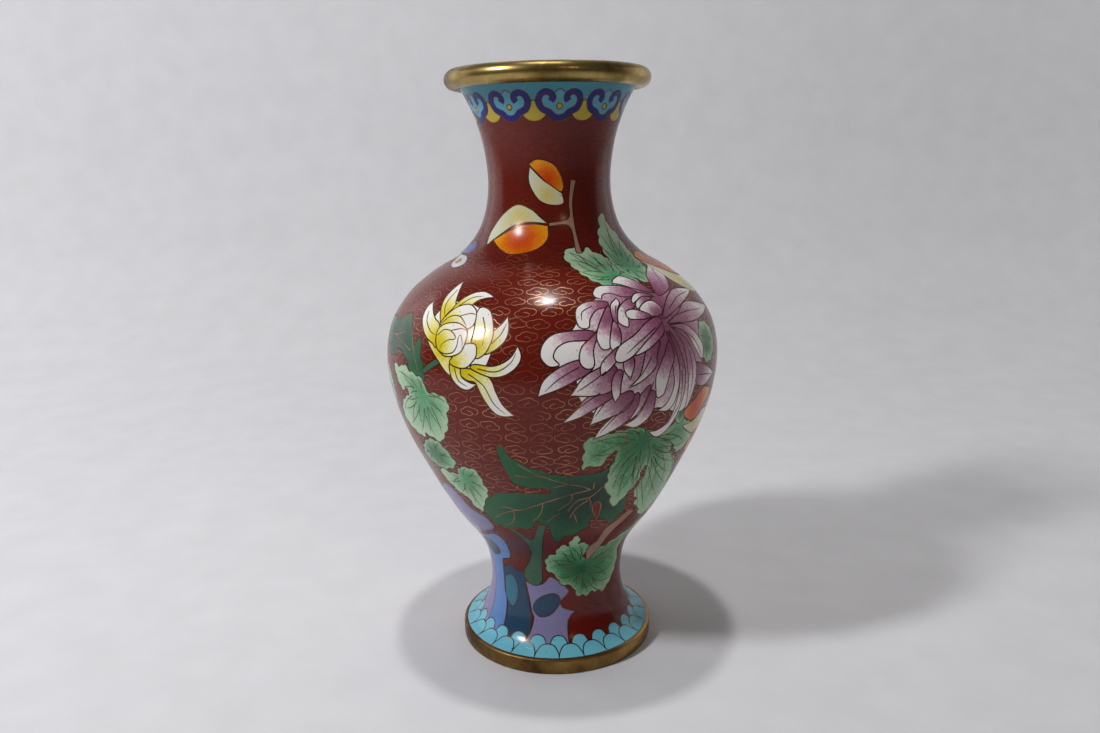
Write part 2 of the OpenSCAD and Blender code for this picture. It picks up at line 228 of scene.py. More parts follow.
def smooth(points, corners, closed=True, grain=1.0):
    """A line that bends smoothly through its points, with a new point about every grain mm."""
    count = len(points)
    result = []
    for i in range(count if closed else count - 1):
        p, q = points[i], points[(i + 1) % count]
        before = points[i - 1] if closed or i > 0 else p
        after = points[(i + 2) % count] if closed or i + 2 < count else q
        leave = (q - p) if corners[i] else (q - before) / 2
        meet = (q - p) if corners[(i + 1) % count] else (after - p) / 2
        steps = max(1, int(math.ceil(np.linalg.norm(q - p) / grain)))
        for t in np.arange(steps) / steps:
            result.append((2 * t**3 - 3 * t**2 + 1) * p + (t**3 - 2 * t**2 + t) * leave
                          + (3 * t**2 - 2 * t**3) * q + (t**3 - t**2) * meet)
    if not closed:
        result.append(points[-1])
    return np.array(result)


print("a smooth path through 4 points has", len(smooth(*read_path("0 90, 9 99, 0 108, -9 99"))), "points")

# %% [markdown]
# ## Strips and sides
# A wire is a strip of flat ribbon stood on edge, and the polished skin shows its thickness. That
# must stay the same on the neck and on the belly, so each step sideways is measured in real mm
# and not in mm of sheet. A curve object with a bevel would give wires as well, but they would lie on
# the sheet and not be cut into it.

# %% Strips
def sideways(points, closed):
    """Steps of one real mm to the right of a line, as steps on the sheet."""
    scale = width_at(points[:, 1])
    if closed:
        step = np.roll(points, -1, 0) - np.roll(points, 1, 0)
    else:
        step = np.gradient(points, axis=0)
    step = np.stack([step[:, 0] * scale, step[:, 1]], 1)
    step /= np.maximum(np.linalg.norm(step, axis=1), 1e-9)[:, None]
    return np.stack([step[:, 1] / scale, -step[:, 0]], 1)


def anticlockwise(loop):
    x, y = loop.T
    return loop if (x * np.roll(y, -1) - np.roll(x, -1) * y).sum() > 0 else loop[::-1]


TIP_WIDTH, TAPER_RATE = 0.35, 2.4


def ribbon(line, width, taper=False):
    """The outline of a strip of a given width along a line. It may taper towards its end."""
    half = np.full(len(line), width / 2)
    if taper:
        half *= np.minimum(1, np.linspace(TIP_WIDTH, TAPER_RATE, len(line)))[::-1]
    side = sideways(line, False) * half[:, None]
    return np.concatenate([line + side, (line - side)[::-1]])


def covered(loop, points):
    """Which points lie inside a loop."""
    x, y = points[:, :1], points[:, 1:]
    ax, ay = loop.T
    bx, by = np.roll(ax, -1), np.roll(ay, -1)
    crosses = ((ay > y) != (by > y)) & (x < (bx - ax) * (y - ay) / np.where(by == ay, 1e-12, by - ay) + ax)
    return crosses.sum(1) % 2 == 1


strip = ribbon(smooth(*read_path("0 90, 9 99"), closed=False), 0.4)
print("a strip's outline has", len(strip), "points")

# %% [markdown]
# ## The layers of the drawing
# Outlines are laid down from the back of the picture to the front, and each covers what lies under
# it, as one petal covers another. This saves drawing the hidden edges, which a maker has to
# work out for each wire.

# %% Layers
layers = []


def lay(part, loop, shade=None, seam=True):
    """Adds one outline to the drawing, and again a full turn away where it crosses the back."""
    turn = 360 * SHEET_PER_DEGREE
    for shift in ((0, -turn, turn) if seam else (0,)):
        moved = loop + np.array([shift, 0])
        if moved[:, 0].max() > -turn / 2 and moved[:, 0].min() < turn / 2:
            layers.append((part, moved, shade and (shade[0] + np.array([shift, 0]), *shade[1:])))


corners = [sheet_point(-180, ring_h), sheet_point(180, height)]
print("two corners of the sheet:", np.round(corners, 1).tolist())

# %% [markdown]
# ## Cells
# A cell is its wire and, half a wire's width inside, its enamel. The maker lays the colours in wet,
# and they run into one another from the cell's root to its tip. So each cell remembers where its
# root is, and how far its tip. A leaf's edge has rounded teeth with sharp notches between them,
# made by rule and not written out.

# %% Cells
CELL_WIRE = 0.42
TOOTH_SINK = 0.45     # share of a tooth's depth that lies inside the written outline


def lengths_along(loop):
    """Real mm from a loop's first point to each of its points, and back to the first."""
    step = np.roll(loop, -1, 0) - loop
    return np.concatenate([[0], np.cumsum(np.hypot(step[:, 0] * width_at(loop[:, 1]), step[:, 1]))])


def tooth_count(length, pitch):
    return max(3, round(length / pitch))


def crenate(loop, pitch, depth):
    """Rounded teeth all along a leaf's outline, with sharp notches between them."""
    length = lengths_along(loop)
    teeth = tooth_count(length[-1], pitch)
    wave = abs(np.sin(math.pi * teeth * length[:-1] / length[-1])) - TOOTH_SINK
    return loop + sideways(loop, True) * (wave * depth)[:, None]


def real_distance(points, start):
    return np.linalg.norm((points - start) * [width_at(start[1]), 1], axis=1)


def cell(enamel, text, root=None, wire="leaf_wire", width=CELL_WIRE, at=None, move=None, teeth=None):
    """One enamel cell in its wire. Its colours run from the point nearest the root to its farthest tip."""
    points, corners = read_path(text, at)
    if move:
        points = move(points)
    loop = anticlockwise(smooth(points, corners, grain=0.45 if teeth else 1.0))
    if teeth:
        loop = crenate(loop, *teeth)
    side = sideways(loop, True) * width / 2
    shade = None
    if root:
        start = np.array([sheet_point(*root)])
        start = (move(start) if move else start)[0]
        if not covered(loop, start[None])[0]:
            start = loop[np.argmin(real_distance(loop, start))]
        shade = (start, real_distance(loop, start).max(), bool(teeth))
    lay(wire, loop + side)
    lay(enamel, loop - side, shade)
    return loop


def line(text, wire, width=0.38, taper=False, at=None, move=None):
    """A bare wire, such as a leaf's vein."""
    points, corners = read_path(text, at)
    if move:
        points = move(points)
    lay(wire, ribbon(smooth(points, corners, closed=False), width, taper))


print("cell wires are", CELL_WIRE, "mm thick")

# %% [markdown]
# ## The cloud ground
# The dark red ground would crack in firing if it were left in one wide field. So it is broken up
# by hundreds of small curled cloud wires, which carry no colours of their own. They could be bent
# one by one, but one written cloud is enough: it is set down in staggered rows, each time with a
# slightly different size, place and tilt, as no two wires bent by hand are quite alike.

# %% Cloud wires
CLOUD = ("-0.7 0.2, 0.8 -0.2, 1.5 -0.9, 0.9 -1.5, -0.3 -1.8, -1.6 -1.4, -3 -1.3, -3.9 -0.5, -3.5 0.5,"
         "-2.5 0.8, -1.8 1.6, 0 2, 1.6 1.5, 3 1.3, 3.9 0.4, 3.5 -0.7, 2.5 -1.3, 2 -1.2")
CLOUD_PITCH = 8.7
CLOUD_ROW = 4.55
CLOUD_WIRE = 0.24
CLOUDS_FROM, DULL_FROM, CLOUDS_TO = 63, 163, 212.5     # heights
hand = random.Random(7)
clouds = []
row_way, row_number = way_at(CLOUDS_FROM), 0
while row_way < way_at(CLOUDS_TO):
    count = round(2 * math.pi * radius_at(row_way) / CLOUD_PITCH)
    for k in range(count):
        turn = 360 * (k + 0.5 * (row_number % 2) + hand.uniform(-0.07, 0.07)) / count - 180
        clouds.append((turn, row_way + hand.uniform(-0.3, 0.3), hand.uniform(0.88, 1.06),
                       hand.uniform(-0.12, 0.12), -1 if row_number % 2 else 1))
    row_way += CLOUD_ROW
    row_number += 1


def cloud_line(turn, way, size, tilt, facing):
    """One cloud's wire on the sheet, from its shape in real mm."""
    shape = np.array([[float(v) for v in pair.split()] for pair in CLOUD.split(",")])
    shape = shape * [size * facing, size]
    shape = shape @ np.array([[math.cos(tilt), math.sin(tilt)], [-math.sin(tilt), math.cos(tilt)]])
    place = [turn * SHEET_PER_DEGREE, way]
    return smooth(shape / [width_at(way), 1] + place, [False] * len(shape), closed=False, grain=0.75)


for cloud in clouds:
    metal_part = "neck_cloud_wires" if cloud[1] > way_at(DULL_FROM) else "cloud_wires"
    lay(metal_part, ribbon(cloud_line(*cloud), CLOUD_WIRE))
ground_layers = len(layers)
print(len(clouds), "clouds drawn")

# %% [markdown]
# ## The ruyi collar
# Ten ruyi heads hang under the rim, with a yellow lobe between each two. The navy band of a head
# could be drawn as a closed outline, but it is as wide all along as a brush stroke, so it is one
# thick strip that curls in at both ends, round a light blue heart with a yellow dot.

# %% Collar
RUYI_HEADS = 10
RUYI_FIRST = 8
RUYI_STEP = 360 / RUYI_HEADS
COLLAR_HEIGHT = 216
HEAD = [(-3.1, 0.9), (-2.4, 2.2), (-3.1, 3.8), (-4.9, 4.4), (-6.7, 3.2), (-7.3, 0.9), (-6.5, -1.4),
        (-4.8, -2.5), (-3.5, -3.1), (-2.3, -4.4), (0, -5.1)]
head_path = HEAD + [(-x, y) for x, y in HEAD[-2::-1]]
band_path = ", ".join(f"{x} {y}" for x, y in head_path)
HEART = "-5.8 3.5, -6.2 0, -5 -2, -2 -3.6, 0 -4.4, 2 -3.6, 5 -2, 6.2 0, 5.8 3.5, 2.3 3.9, 0 5.4, -2.3 3.9"
LOBE = "-4.9 -0.6 *, -4.4 -3.8, -2.6 -5.6, 0 -6.2, 2.6 -5.6, 4.4 -3.8, 4.9 -0.6 *, 2 0.2, 0 1.6 *, -2 0.2"
BAND = 1.95
BAND_WIRE = 0.3


def all_round(part, bottom):
    """A field that goes all round the body, from a way along the outline to the top."""
    edge, top = 181 * SHEET_PER_DEGREE, along[-1] + 1
    lay(part, np.array([[-edge, bottom], [edge, bottom], [edge, top], [-edge, top]]), seam=False)


turquoise_from = way_at(COLLAR_HEIGHT) + 0.3
all_round("collar_wire", turquoise_from - 0.35)
all_round("collar_turquoise", turquoise_from)
for k in range(RUYI_HEADS):
    between = (RUYI_FIRST + RUYI_STEP * (k + 0.5), COLLAR_HEIGHT)
    cell("collar_yellow", LOBE, at=between, wire="collar_wire")
for k in range(RUYI_HEADS):
    head = (RUYI_FIRST + RUYI_STEP * k, COLLAR_HEIGHT)
    cell("collar_sky", HEART, at=head, wire="collar_wire")
    points, corners = read_path(band_path, at=head)
    stroke = smooth(points, corners, closed=False, grain=0.6)
    lay("collar_wire", ribbon(stroke, BAND + 2 * BAND_WIRE))
    lay("collar_navy", ribbon(stroke, BAND))
    cell("collar_yellow", "1.1 -0.9, 0 0.3, -1.1 -0.9, 0 -2", at=head, wire="collar_wire")
print(RUYI_HEADS, "ruyi heads,", len(layers), "outlines so far")

# %% [markdown]
# ## The rock
# A scholar's rock stands at the foot of the picture, in lavender, sky blue and slate. The ovals in
# it are the holes that water wears in such a stone. Its cells are plain outlines laid one over another,
# which is quicker than fitting their edges together.

# %% Rock
for enamel, path in (
        ("rock_lavender_enamel", "-60 48, -62 56, -68 62, -66 70, -58 76, -50 75, -44 68, -36 65, "
         "-34 60, -44 56, -50 54.5"),
        ("rock_sky_enamel", "-66 8 *, -70 20, -68 36, -66 46, -60 51, -50 52.5, -37 56, -33 52, -37 43, "
         "-47.5 39.5, -51 27, -47 21, -44 8 *"),
        ("rock_slate_enamel", "-46 44, -58 41, -62 46, -56 50, -47 49.5"),
        ("rock_slate_enamel", "-44 8 *, -46 20, -51 29, -48 36, -40 38.5, -32 37, -27 36, -25.5 27, "
         "-21 17, -22 8 *"),
        ("rock_teal_enamel", "-40 20, -49 24, -49 31, -42 34, -36 32, -35 25"),
        ("rock_lavender_enamel", "-23 8 *, -19 17, -21.5 21, -26 31, -25 32.5, -14 32, -9 33.7, -4 36, "
         "8 31, 10 28.5, 4 25.2, 5 22.3, 16 20, 9 17, 8 8 *"),
        ("rock_slate_enamel", "-20 21.5, -14 18.5, -5 19.6, 2 23.4, 3 26, -1 28.2, -9 27.6, -17 25"),
        ("rock_red_enamel", "8 8 *, 9.5 17, 18 20.5, 40 20.5, 50 17, 54 8 *"),
        ("rock_lavender_enamel", "-64 8 *, -66 20, -66 36, -62 48, -70 53, -80 45, -86 31, -92 18, "
         "-94 8 *"),
        ("rock_sky_enamel", "196 8 *, 190 22, 176 30, 168 42, 172 54, 182 58, 192 50, 204 44, 208 26, "
         "214 8 *"),
        ("rock_lavender_enamel", "214 8 *, 208 26, 206 38, 216 44, 226 36, 236 22, 232 8 *"),
        ("grey_stem_enamel", "-26.6 37.6, -26 33.6, -20 31.6, -14 32, -11.4 34.6, -10.8 40, -9.6 46, "
         "-8 52, -6.6 58, -4 65 *, -8.4 65 *, -10.6 60, -13 56.4, -15.6 57, -18.4 59.6, -23 62.8 *, "
         "-23.6 61 *, -19.6 58, -17.2 54, -16.6 50, -18 46, -21.4 42"),
        ("rock_slate_enamel", "180 36, 188 30, 196 34, 194 42, 184 46")):
    cell(enamel, path, wire="rock_wire")
print(len(layers), "outlines so far")

# %% [markdown]
# ## Veins
# Veins part a leaf's enamel as bare wires. They could all be written out, as the bright ones of
# the dark leaves are below. In the paler leaves they fan out from the base to the teeth, so a rule
# bends one towards each tooth that it can reach without leaving the leaf.

# %% Veins
SHORTEST_VEIN = 4
VEIN_BEND = 0.1
VEIN_REACH = (0.3, 0.45, 0.6, 0.75, 0.88)     # shares of the way from the base to the tooth
VEIN_PITCH = 4.4
VEIN_WIRE = 0.34


def veins(loop, base):
    """Tapered veins that fan out from a leaf's base, bent to one side and the other by turns."""
    start = np.array(sheet_point(*base))
    length = lengths_along(loop)
    teeth = tooth_count(length[-1], VEIN_PITCH)
    for k in range(teeth):
        tip = loop[min(np.searchsorted(length, (k + 0.5) * length[-1] / teeth), len(loop) - 1)]
        run = tip - start
        bend = np.array([-run[1], run[0]]) * VEIN_BEND * (1 if k % 2 else -1)
        track = np.array([start + run * t + bend * math.sin(math.pi * t) for t in VEIN_REACH])
        long_enough = np.hypot(run[0] * width_at(loop[:, 1]).mean(), run[1]) > SHORTEST_VEIN
        if long_enough and covered(loop, track).all():
            bent = smooth(track, [False] * len(track), closed=False)
            lay("leaf_wire", ribbon(bent, VEIN_WIRE, taper=True))


print("a vein for each", VEIN_PITCH, "mm of a leaf's edge")

# %% [markdown]
# ## Leaves
# In the paler leaves the green is strong along the middle and thins to a pale edge, as the two
# glasses were laid wet into one another. The dark leaves have hardly any teeth. Each leaf is written
# by its fingers only, and its teeth are added by the rule above.

# %% Leaves
DARK_TEETH, PALE_TEETH = (7.5, 0.6), (4.8, 0.8)     # pitch and depth
for enamel, root, path in (
        ("dark_leaf_enamel", (-62, 134), "-84 137, -78 139.5, -70 139, -64 141.5, -60 143, -57 141, "
         "-54 138, -52 136, -50 133, -49 136, -47 135, -46 130, -44 126, -44 122, -48 122, -52 125, "
         "-56 129, -62 130.5, -71 129.5, -78 132"),
        ("dark_leaf_enamel", (-66, 129), "-71 129.5, -66 131, -61 129, -66 127"),
        ("grey_leaf_enamel", (-49, 91), "-58 88, -56 93, -50 97.5, -44 98, -40 94, -38.5 90, -42 87, "
         "-50 85.5"),
        ("pale_leaf_enamel", (-45, 117), "-63.5 124.5, -59 124, -55 125.5, -52.5 124, -45 122, -43 118, "
         "-38 117.8, -35 116.5, -34 114, -35.5 110, -36 106, -39 101.5, -42 98.5, -49 100, -52 98, "
         "-59 100, -63 103, -62 108, -58 112, -54 114.5, -54 117, -58 115.5, -61 118.5, -63 122"),
        ("pale_leaf_enamel", (-37, 84), "-50 85, -45 84.5, -40 85, -38 88, -35 89, -31 89, -29 87, "
         "-28.5 83, -27.8 80, -29 76, -32 73, -34 69, -37 68.5, -40 71, -41 74, -45 75, -50 79, -52 82"),
        ("dark_leaf_enamel", (14, 78), "-17.5 102 *, -16.4 99, -13.6 95.4, -10 93.2, -5 91, 0 89.3, "
         "5 88.5, 12 88.6, 18 89.8, 22 97 *, 25 86, 31 76, 33 72, 32.4 66.6, 29 63.2, 25 64.6, 20.6 67, "
         "16.4 66.8, 16.2 63.6, 13.6 61.4, 9 59.6, 5 58.6, 2.4 56.4, -0.8 57, -2.2 60.6, -3 64, -6.4 66, "
         "-8 67.2, -10.6 64.4, -14.6 62.4, -20 62.6, -25 62, -30 62.8, -34.4 66.6, -33.4 70.6, "
         "-30.4 74.6, -26 78.2, -20 80, -12 80.4, -1.6 80.6 *, -1.2 82.4, -5 83.2, -11 83.4, -15.2 85, "
         "-16.6 88, -17.4 91, -18.6 95, -18.6 99"),
        ("green_leaf_enamel", (31, 101), "10 103, 9.8 99, 9.5 95, 10 91, 12.5 92.5, 15.5 91.5, 17.5 94, "
         "19.5 97, 21 97.5, 21.4 95, 20.2 91, 19.6 88, 20.2 85.5, 19.6 83, 20.4 80, 22.4 78.4, 23.6 75.6, "
         "24.6 72.8, 26.4 71.8, 28.6 73, 30.6 75.6, 32.6 78.2, 34.4 80.6, 34.8 84, 34.6 87.6, 36 88, "
         "37 84.6, 36.4 80.8, 35.2 77, 36 74.4, 38.4 73.2, 38.6 70.6, 40.6 68.6, 43.6 67, 46 64, 50 61.6, "
         "55 61.4, 60 63, 65 68, 63.4 73, 61 77.4, 57.4 82.6, 53 87.4, 49.4 90, 46.2 93.6, 47.4 94.2, "
         "50.6 90.8, 54.6 89.2, 59.6 91, 62 93.6, 58.6 97.4, 54 101.6, 48.6 104.2, 44.4 104.6, 40 101.4, "
         "34 103, 28 105.4, 22 105.6, 15 104.4"),
        ("green_leaf_enamel", (62, 131), "58 125, 56 130, 58 136, 62 138, 67 136, 69 130, 66 125, 62 123"),
        ("green_leaf_enamel", (47, 109), "44.5 104, 44.5 110, 46 115, 49 114, 50 108, 48 104"),
        ("pale_leaf_enamel", (32, 156), "8 164 *, 10 165, 15 166, 20 164.5, 25 165.5, 30 163.5, "
         "34 162.5, 37 160, 41 154, 34 151, 25 153.5, 20 155, 16 157, 13 159, 10 161, 8 163"),
        ("pale_leaf_enamel", (44, 158), "38 157, 36 163, 37 168, 40 171, 43 173, 45 176, 48 177, 52 176, "
         "55 172, 60 170, 61 165, 60 162, 57 158, 48 153"),
        ("green_leaf_enamel", (20, 39), "-7.8 42, -7 45, -4 47.2, -1 47.6, 0 49, 2 52, 5 53.4, 7.8 52.8, "
         "8.2 55.2, 10 57.4, 12 58.4, 13.4 57, 13.8 53.4, 15.4 53.8, 18 53.4, 20.6 51.6, 21 49, "
         "19.8 46.8, 20.6 44.6, 22.6 43.4, 26 45.4, 28 47.4, 31 48.8, 35 48.4, 38 50.4, 42 51.4, 46 53, "
         "52 54.6, 58 58.4, 63 58.6, 62 54, 58 49.4, 55.6 45, 57 41, 61 38, 60 33.4, 56 29.8, 50 27.2, "
         "46 26.2, 42 25.4, 38 27, 34 26.4, 30 27, 26 25.8, 22 26.4, 18 26.8, 15 29.4, 12.4 31.6, 8 31.8, "
         "4 32.8, 1 34.8, -1 37.2, -5 38, -7.4 40"),
        ("pale_leaf_enamel", (96, 96), "84 84, 80 92, 84 98, 82 104, 90 108, 96 106, 102 110, 108 106, "
         "106 99, 112 94, 108 87, 100 88, 96 82, 90 86"),
        ("green_leaf_enamel", (112, 126), "96 118, 94 126, 100 131, 98 137, 107 139, 113 135, 121 138, "
         "126 132, 122 126, 127 120, 120 116, 112 119, 104 113"),
        ("dark_leaf_enamel", (158, 76), "142 70, 140 78, 146 83, 152 82, 158 88, 164 84, 172 85, 174 78, "
         "168 74, 170 68, 162 66, 156 69, 150 65"),
        ("green_leaf_enamel", (-112, 120), "-128 112, -130 121, -124 126, -126 132, -116 134, -110 130, "
         "-102 133, -96 127, -100 121, -96 114, -104 110, -110 113, -118 108"),
        ("pale_leaf_enamel", (-98, 84), "-110 76, -112 84, -106 88, -108 94, -100 96, -94 92, -86 94, "
         "-84 87, -88 82, -84 76, -92 73, -98 76, -104 72"),
        ("green_leaf_enamel", (180, 102), "168 92, 164 100, 170 106, 178 108, 186 106, 194 108, 200 102, "
         "194 96, 196 90, 188 88, 182 91, 176 86"),
        ("pale_leaf_enamel", (-124, 100), "-138 96, -140 104, -132 108, -124 111, -116 108, -112 102, "
         "-116 95, -122 92, -128 95, -134 91"),
        ("pale_leaf_enamel", (-166, 70), "-178 64, -180 72, -172 77, -164 79, -156 76, -152 70, -158 64, "
         "-166 66, -172 60"),
        ("green_leaf_enamel", (-100, 44), "-114 38, -116 45, -108 50, -100 53, -92 50, -86 46, -90 39, "
         "-98 37, -106 33"),
        ("green_leaf_enamel", (140, 44), "126 38, 124 45, 130 51, 138 54, 148 52, 156 46, 150 39, "
         "142 36, 134 33"),
        ("dark_leaf_enamel", (-148, 92), "-164 84, -166 92, -158 96, -156 102, -148 100, -140 103, -134 98,"
         "-138 92, -132 86, -140 83, -148 86, -156 80"),
        ("grey_leaf_enamel", (88, 62), "76 56, 74 62, 80 67, 88 66, 96 69, 102 64, 98 58, 90 57, 84 53"),
        ("pale_leaf_enamel", (-76, 112), "-84 104, -86 111, -80 116, -76 121, -70 119, -68 112, -72 106, "
         "-78 102")):
    dark = enamel == "dark_leaf_enamel"
    edge = cell(enamel, path, root=root, wire="leaf_wire", teeth=DARK_TEETH if dark else PALE_TEETH)
    if not dark:
        veins(edge, root)
print(len(layers), "outlines so far")

# %% Bright veins
GOLD_VEINS = ("14 81.5, 7 80, 2 78.5, -5 76, -11 73.6, -16 72, -22 72.8, -26 71.6",
              "-16 72, -20 71, -24.5 69.2, -30 66", "-18.5 71.4, -19 68, -21.4 64.8, -25 63.4",
              "-5 76, -5.8 72, -8 68.8, -10.6 67", "6.8 79.8, 6.6 76.6, 4 74.4, 1 72.4",
              "19 82.6, 17 80.2, 14 77.8, 10 77, 7.2 74.6, 5.6 71.6",
              "13.6 76.6, 10 74, 8 71.4, 6.6 68.4", "14 77.6, 15 75.2, 15.3 73", "15 81.4, 15 84.6",
              "14 81.5, 10 83.4, 5 84.8, -0.6 86.8, -5 88.6, -10 88, -14 88.6",
              "-5 88.6, -9 91, -12.6 93.6", "-0.4 83.5, 5 84.7", "8.4 70, 10.2 66",
              "2 71, -1 69.2, -3.6 66.6", "-76 134, -66 134.5, -58 137", "-66 134.5, -58 133, -52 131",
              "-54 138, -50 131, -47 125", "12 164.5, 19 161, 26 158", "15 161, 20 158.5, 27 157.5",
              "24 159, 30 160, 34 159", "146 74, 156 76, 168 80", "156 76, 160 70", "152 75, 158 82",
              "-160 88, -148 92, -138 94", "-150 92, -148 97", "-146 93, -142 88")
GOLD_WIRE = 0.28
RED_DROP = "17.6 75.2, 16.2 73.2, 17.2 70, 19.8 66.6 *, 20.2 71, 19.6 74.2"
for path in GOLD_VEINS:
    line(path, wire="vein_wires", width=GOLD_WIRE)
cell("ground", RED_DROP, wire="vein_wires", width=0.3)
print(len(GOLD_VEINS), "bright veins and a drop of open ground")

# %% [markdown]
# ## Branches
# The stems are brown and grey enamel between two wires. A strip along a line would be too even for
# them, because they swell at the forks and at the foot, so their outlines are written out.

# %% Branches
for enamel, path in (
        ("brown_stem_enamel", "21 48.4, 22.6 51.4, 25.4 53, 26 57.4, 28 61, 33 64, 37 67.6 *, 42 66 *, "
         "37 62, 33.4 58.6, 31.6 54.6, 31 50.4, 29 47, 25.6 43.6, 23.4 43, 22 45.6"),
        ("grey_stem_enamel", "-36 131.5 *, -40 129.5, -45 125.5 *, -44 124 *, -39 127.5, -35 129.5 *"),
        ("brown_stem_enamel", "16.5 164 *, 20.4 164 *, 20 176, 20.2 182, 24.4 189.5 *, 19 189.8 *, "
         "16.6 182, 15 176, -1 174.6 *, -1 173.4 *, 15.4 173"),
        ("brown_stem_enamel", "-128 26 *, -118 26 *, -112 44, -116 60, -108 76, -112 92 *, -115 92 *, "
         "-113 76, -121 60, -118 44"),
        ("brown_stem_enamel", "118 30 *, 128 30 *, 124 48, 132 64, 128 82, 138 100 *, 134 101 *, 124 82, "
         "127 65, 118 48")):
    cell(enamel, path, wire="stem_wire")
print(len(layers), "outlines so far")

# %% [markdown]
# ## The chrysanthemums
# A petal is one cell: a strap that leaves the heart of the flower and curls over at its tip. The
# glass runs from mauve at the root to white at the tip in one flower, and from yellow to white in
# the other. A crease is a bare wire inside a petal. Petals set out by a rule look like a daisy's, and
# these tumble, so each is written out, from the back of the flower to its front.

# %% Mauve chrysanthemum
MAUVE_HEART = (40, 141.5)
MAUVE_BED = ("44 150, 40 153, 32 153.5, 22 152, 12 148, 6 141, 0 138, -1 132, 6 127, 8 118, 14 112, "
             "24 110, 34 112, 46 108, 52 116, 56 122, 56 132, 60 140, 58 148, 50 151")
MAUVE_PETALS = (
    "45 150.5, 49 155, 56 157, 67 158.5, 66 156, 57 151, 46 149",
    "41 142, 45 146, 52 149, 60 150, 75 148 *, 60 146, 50 144",
    "42 140.5, 50 143, 60 145.5, 80 141 *, 60 139, 45 140",
    "52 125, 60 122, 68 117.5 *, 60 115, 54 116, 51 121",
    "42 139.5, 50 139, 55 135, 58 130, 57 125.5 *, 55 126, 52 131, 48 137",
    "43 139, 49 133, 52 125, 52 118, 50 111, 48 107.5 *, 48 115, 47 125, 46 133",
    "41 138, 45 128, 46 118, 44 107, 40 101.5, 36 100.2, 32 103.2 *, 36 103, 40 105, 42 110, 43 120",
    "33 117, 32 110, 27 106, 22 107.5 *, 26 109.5, 29 114, 31 119",
    "40 138, 43 125, 42 114, 39 110, 34 110.8 *, 38 113, 40.5 119, 40 126",
    "22.5 108.5 *, 26 110.5, 29 115, 31 121, 28 119, 25 114",
    "22 108, 17 105, 12.5 103.3 *, 15 108, 20 113, 26 119, 27 116, 25 111",
    "11 108.8 *, 13.5 115.5, 20 119, 24 120, 25 117, 22 113, 17 111",
    "2.5 110 *, 7 115.5, 10 119, 15 122, 18 121, 18 118.5, 12 114.5, 8 112",
    "5 120 *, 9 126, 14 129, 18 130, 20 126, 18 121, 12 119.5",
    "-4.5 119.8 *, -3 125, 1 129, 6 131.5, 11 132, 12 129, 10 127, 7 125.3, 2 122.5",
    "2 130.5, -1 130, -3.5 133, -3 137, 0 140, 5 141, 12 141, 14 139.5, 11 138, 5 137.8, 1.5 136, 0.3 133",
    "12.5 139, 9 136, 8 132, 9 129.5, 11 128.7, 12.5 130, 12.6 135, 15 140, 16 142",
    "12 141.8, 9 142, 8 145, 9 148, 13 149.5, 18 149.6, 21 149, 20 147.6, 16 147, 13 144.5",
    "15 135.2, 14 139, 16.5 144, 20.5 148, 21 144.6, 19 140, 18 135.4, 16.6 134.6",
    "18 135, 18.6 139, 21 143.5, 22.4 140, 21.5 136, 19.8 134.2",
    "19 150 *, 16.5 151, 17 152.5, 20 153.8, 26 153.8, 32 153, 36 151, 34 150, 28 150.2, 24 151.5, "
      "20.5 151.4",
    "27 154.4 *, 29 155.5, 33 156.2, 37 155.4, 41 153.4, 44 150.5, 41 150.6, 35 152.4, 31 153.7",
    "25 150 *, 21.5 148, 20.8 144, 22 142.5, 23.4 143.4, 23.6 146.4, 25.6 148.6",
    "30 149.5, 25 147.5, 23 145, 22.7 142.5, 25.5 141, 26.5 143, 27 145, 30 146.4, 33 148.4",
    "43 149 *, 40 150.3, 35 150.8, 31.5 149.5, 31 148, 34 148.8, 38 149.3",
    "41 148.8 *, 37 149.6, 33 148.5, 31.5 147, 32.5 146.2, 36 147.5",
    "32.5 146, 36 147.8, 40 148, 42.5 146, 42 144, 39 143, 35 144",
    "26.5 145.7, 30 146.2, 35 144.5, 36 143.3, 33 142.8, 27 143.5",
    "23 121 *, 27 125, 30 133, 34 137, 36 135, 34 131, 33 127, 28 123",
    "37 131, 33 124, 33 118, 33.8 115.8, 36 116.5, 37 119, 39 125, 41 129, 40 135",
    "18.7 116.5 *, 17.8 119, 17.6 124, 19.4 127.6, 21.4 127, 20.6 123, 20.2 119",
    "23.7 124 *, 21.7 127.5, 22.2 131.5, 25 132, 25.4 129, 24.6 126.5",
    "14.2 127.2, 15 126.4, 19 130, 22 134, 21 135.4, 18.5 134, 14.8 130.5",
    "39 141, 39 138, 35 135.3, 30 132.8, 26 131.8, 24.5 133, 29 136, 34 139.5",
    "19 131.4, 21 135.4, 27 138.4, 33 141.8, 38 143, 40 141.5, 36 139, 30 135.4, 25 131.6, 21 130")
MAUVE_CREASES = (
    "54.5 153, 60 156.5, 64 157.2", "48 137, 53 133, 56 127", "54 120, 60 118.8, 65 117.6",
    "49 130, 50 120, 49 112", "44 124, 44.4 112, 40 104", "32 122, 28 112, 24 108.4",
    "25 117, 19 111, 14.6 105.6", "16 117.5, 12.6 112", "14 120.4, 8 116, 4.4 112",
    "16 127.6, 11 124, 7 121.2", "8 129.6, 2 126, -2.4 121.6", "32 131, 28 125.6, 24.4 122",
    "23.6 147.8, 22.4 145.4", "14.6 148.2, 10.6 146.6, 10 144", "36 139.8, 29 136.4, 23 132.6",
    "47 142.2, 56 142.6, 68 141.6", "46 144.6, 56 147.6, 68 148")
print(len(MAUVE_PETALS), "mauve petals written")

